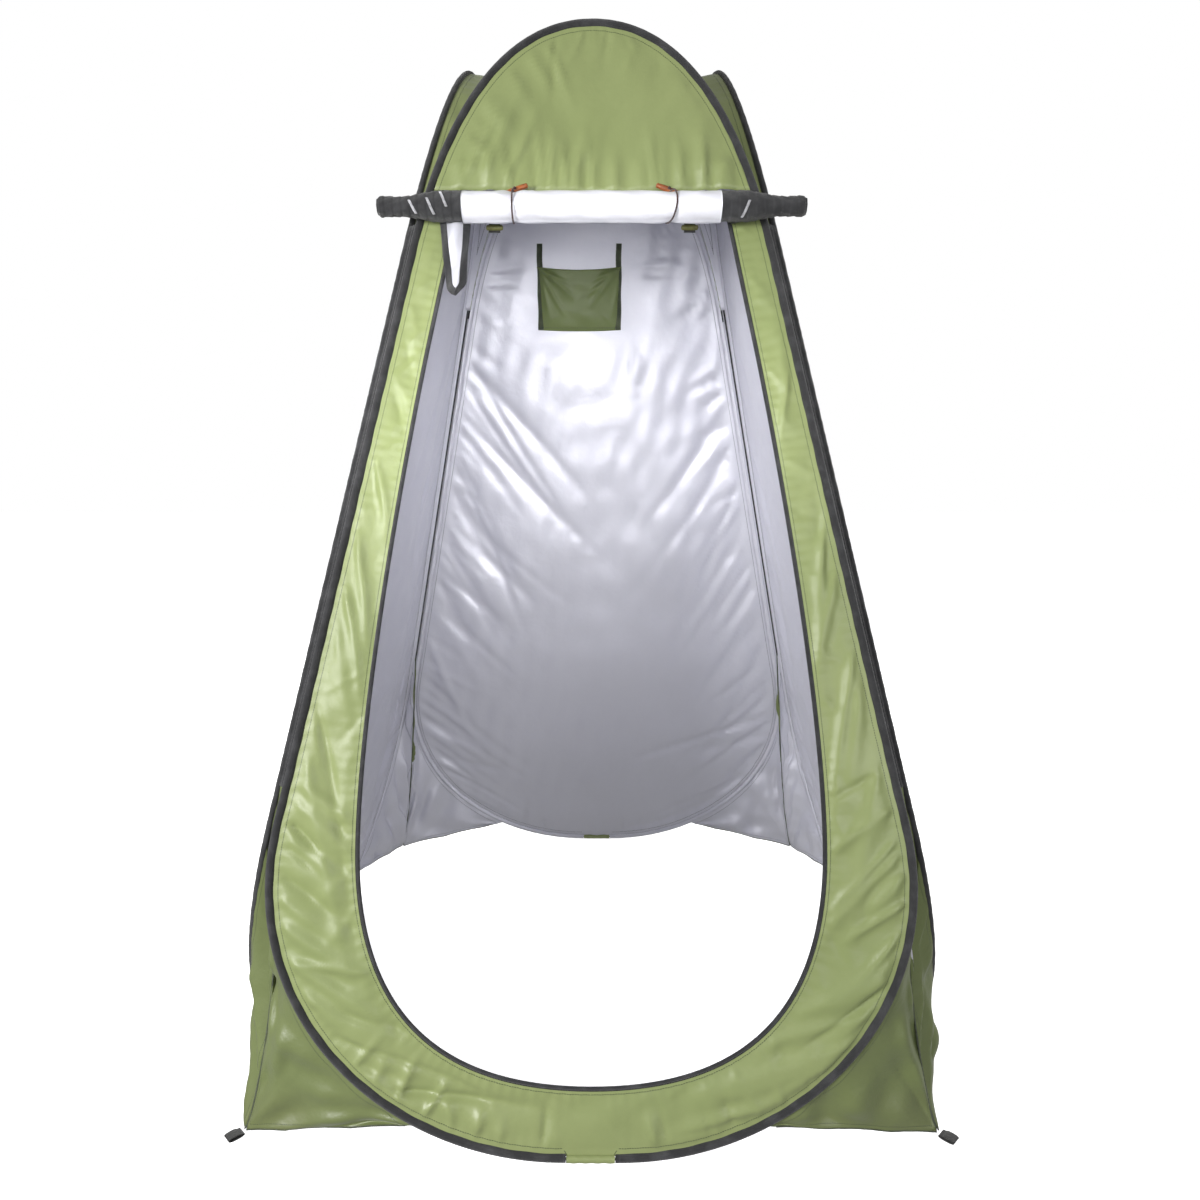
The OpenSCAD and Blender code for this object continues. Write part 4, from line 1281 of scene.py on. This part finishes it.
def pocket_tapes():
    """The two tapes that run down the pocket's sides and hold it up."""
    width = np.linspace(-POCKET_TAPE_HALF, POCKET_TAPE_HALF, 9)[None]
    rise = np.linspace(-POCKET_H, 0.054, 50)[:, None]
    for hand in (-1, 1):
        u = POCKET_U + hand * (POCKET_W / 2 - POCKET_TAPE_HALF) + width + 0.0006 * np.sin(rise / 0.013)
        n = -0.0030 - 0.0022 * (1 - (width / POCKET_TAPE_HALF) ** 2)
        n = n - 0.0008 * np.sin(rise / 0.009) * (rise > 0)
        tape = sheet(
            f"pocket_tape_{word(-hand)}", on_wall(180, u, POCKET_LOW + POCKET_H + rise, n),
            -outwards(180), [SEAM, SEAM], thick=0.0010,
            body="back_wall_frame", slot="seam_binding", replaces=["pocket_tapes"] if hand > 0 else [],
        )


pocket()


LOOP_START = CORNER_HALF * math.sqrt(2) + 0.0012


def peg_loop(name, turn):
    """A short loop of webbing sewn flat at the fabric corner."""
    t = round_turn(72)
    x = 0.0150 + 0.0135 * np.sign(np.cos(t)) * np.abs(np.cos(t)) ** 0.75
    z = 0.0043 + 0.0034 * np.sign(np.sin(t)) * np.abs(np.sin(t)) ** 0.9
    z = z - 0.0018 * bell(x - 0.006, 0.004) * (z > 0.0043)
    ring = np.stack([x, z], 1)
    inward = [0.0150, 0.0043] - ring
    inward /= np.linalg.norm(inward, axis=1, keepdims=True)
    w = np.linspace(-0.0098, 0.0098, 13)
    rings = []
    for layer, sign in ((0.0, 1), (0.0011, -1)):
        for y in w[::sign]:
            thread = 0.00012 * math.cos(y / 0.0011 * math.pi)
            p = ring + inward * (layer + thread * sign)
            rings.append(np.stack([LOOP_START + p[:, 0], y + 0 * t, p[:, 1]], 1))
    tube(
        f"{name}_webbing", turned(np.array(rings), turn - 45), [WEBBING], closed=True,
        body=name, slot="black_webbing", replaces=[name],
    )


for name, turn in (("front_right", 0), ("back_right", 90), ("back_left", 180), ("front_left", 270)):
    peg_loop(f"{name}_peg_loop", turn)

# --- CAD nodes that stay -------------------------------------------------------------------------


def finish_node(node, material):
    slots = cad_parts[node].data.materials
    if len(slots) == 0:
        slots.append(material)
    for index in range(len(slots)):
        slots[index] = material


for side in WALLS:
    finish_node(f"{side}_hoop", STEEL)
    finish_node(f"{side}_hoop_ferrule", STEEL)
for hand in (-1, 1):
    finish_node(f"zip_slider_{word(hand)}", ZIP_METAL)
    finish_node(f"zip_pull_{word(hand)}", ZIP_METAL)

# --- floor, light and camera ---------------------------------------------------------------------


FLOOR_REACH = 30.0


def floor():
    mesh = bpy.data.meshes.new("floor")
    corners = [(-1, -1, 0), (1, -1, 0), (1, 1, 0), (-1, 1, 0)]
    mesh.from_pydata((FLOOR_REACH * np.array(corners)).tolist(), [], [(0, 1, 2, 3)])
    look = Look("pale floor")
    shade = look.noise(0.8, 2.0)
    look.set(Base_Color=look.mix(shade, (0.93, 0.93, 0.93, 1), (0.96, 0.96, 0.96, 1)), Roughness=0.9)
    look.set(Emission_Color=(1, 1, 1, 1), Emission_Strength=0.85)
    mesh.materials.append(look.material)
    made = bpy.data.objects.new("floor", mesh)
    bpy.context.scene.collection.objects.link(made)
    made.location.z = -0.0005
    # it glows, so that it looks white all over, but lights nothing: the tent keeps its shading
    made.visible_diffuse = made.visible_glossy = False


def soft_box(name, place, aim, size, power, spread=180):
    data = bpy.data.lights.new(name, "AREA")
    data.shape = "DISK"
    data.size = size
    data.energy = power
    data.spread = math.radians(spread)
    light = bpy.data.objects.new(name, data)
    bpy.context.scene.collection.objects.link(light)
    light.location = place
    way = Vector(aim) - Vector(place)
    light.rotation_euler = way.to_track_quat("-Z", "Y").to_euler()
    light.visible_camera = False


ROOM_LIGHT = 0.34

floor()
world = bpy.data.worlds.new("studio")
bpy.context.scene.world = world
world.use_nodes = True
backdrop = world.node_tree.nodes["Background"]
backdrop.inputs["Color"].default_value = (1, 1, 1, 1)
# the white room is seen at full brightness and lights the tent at a lower one
seen = world.node_tree.nodes.new("ShaderNodeLightPath").outputs["Is Camera Ray"]
level = world.node_tree.nodes.new("ShaderNodeMapRange")
level.inputs["To Min"].default_value = ROOM_LIGHT
world.node_tree.links.new(seen, level.inputs["Value"])
world.node_tree.links.new(level.outputs["Result"], backdrop.inputs["Strength"])
soft_box("key", (-2.1, -2.6, 1.5), (0, 0, 0.8), 0.8, 105)
soft_box("fill", (1.9, -3.2, 1.3), (0, 0.3, 0.9), 1.4, 34)
soft_box("back left", (-2.6, 3.0, 2.2), (0, 0, 0.9), 1.4, 95)
soft_box("back right", (3.3, 1.6, 1.7), (0, 0, 0.9), 1.6, 75)
soft_box("through the doorway", (-0.05, -1.05, 1.25), (0.0, 0.45, 1.05), 0.50, 2.1, 60)
bpy.context.scene.view_settings.view_transform = "Standard"

CAMERA_PLACE = (0.0202, -1.9201, 1.0822)
CAMERA_DOWN = 7.632  # degrees below level
CAMERA_LEFT = 0.222  # degrees to the left of straight ahead

camera_data = bpy.data.cameras.new("camera")
camera_data.sensor_width = 36.0
camera_data.lens = 26.25
camera_data.clip_start = 0.05
camera = bpy.data.objects.new("camera", camera_data)
bpy.context.scene.collection.objects.link(camera)
camera.location = CAMERA_PLACE
camera.rotation_euler = (math.radians(90 - CAMERA_DOWN), 0, math.radians(CAMERA_LEFT))
bpy.context.scene.camera = camera
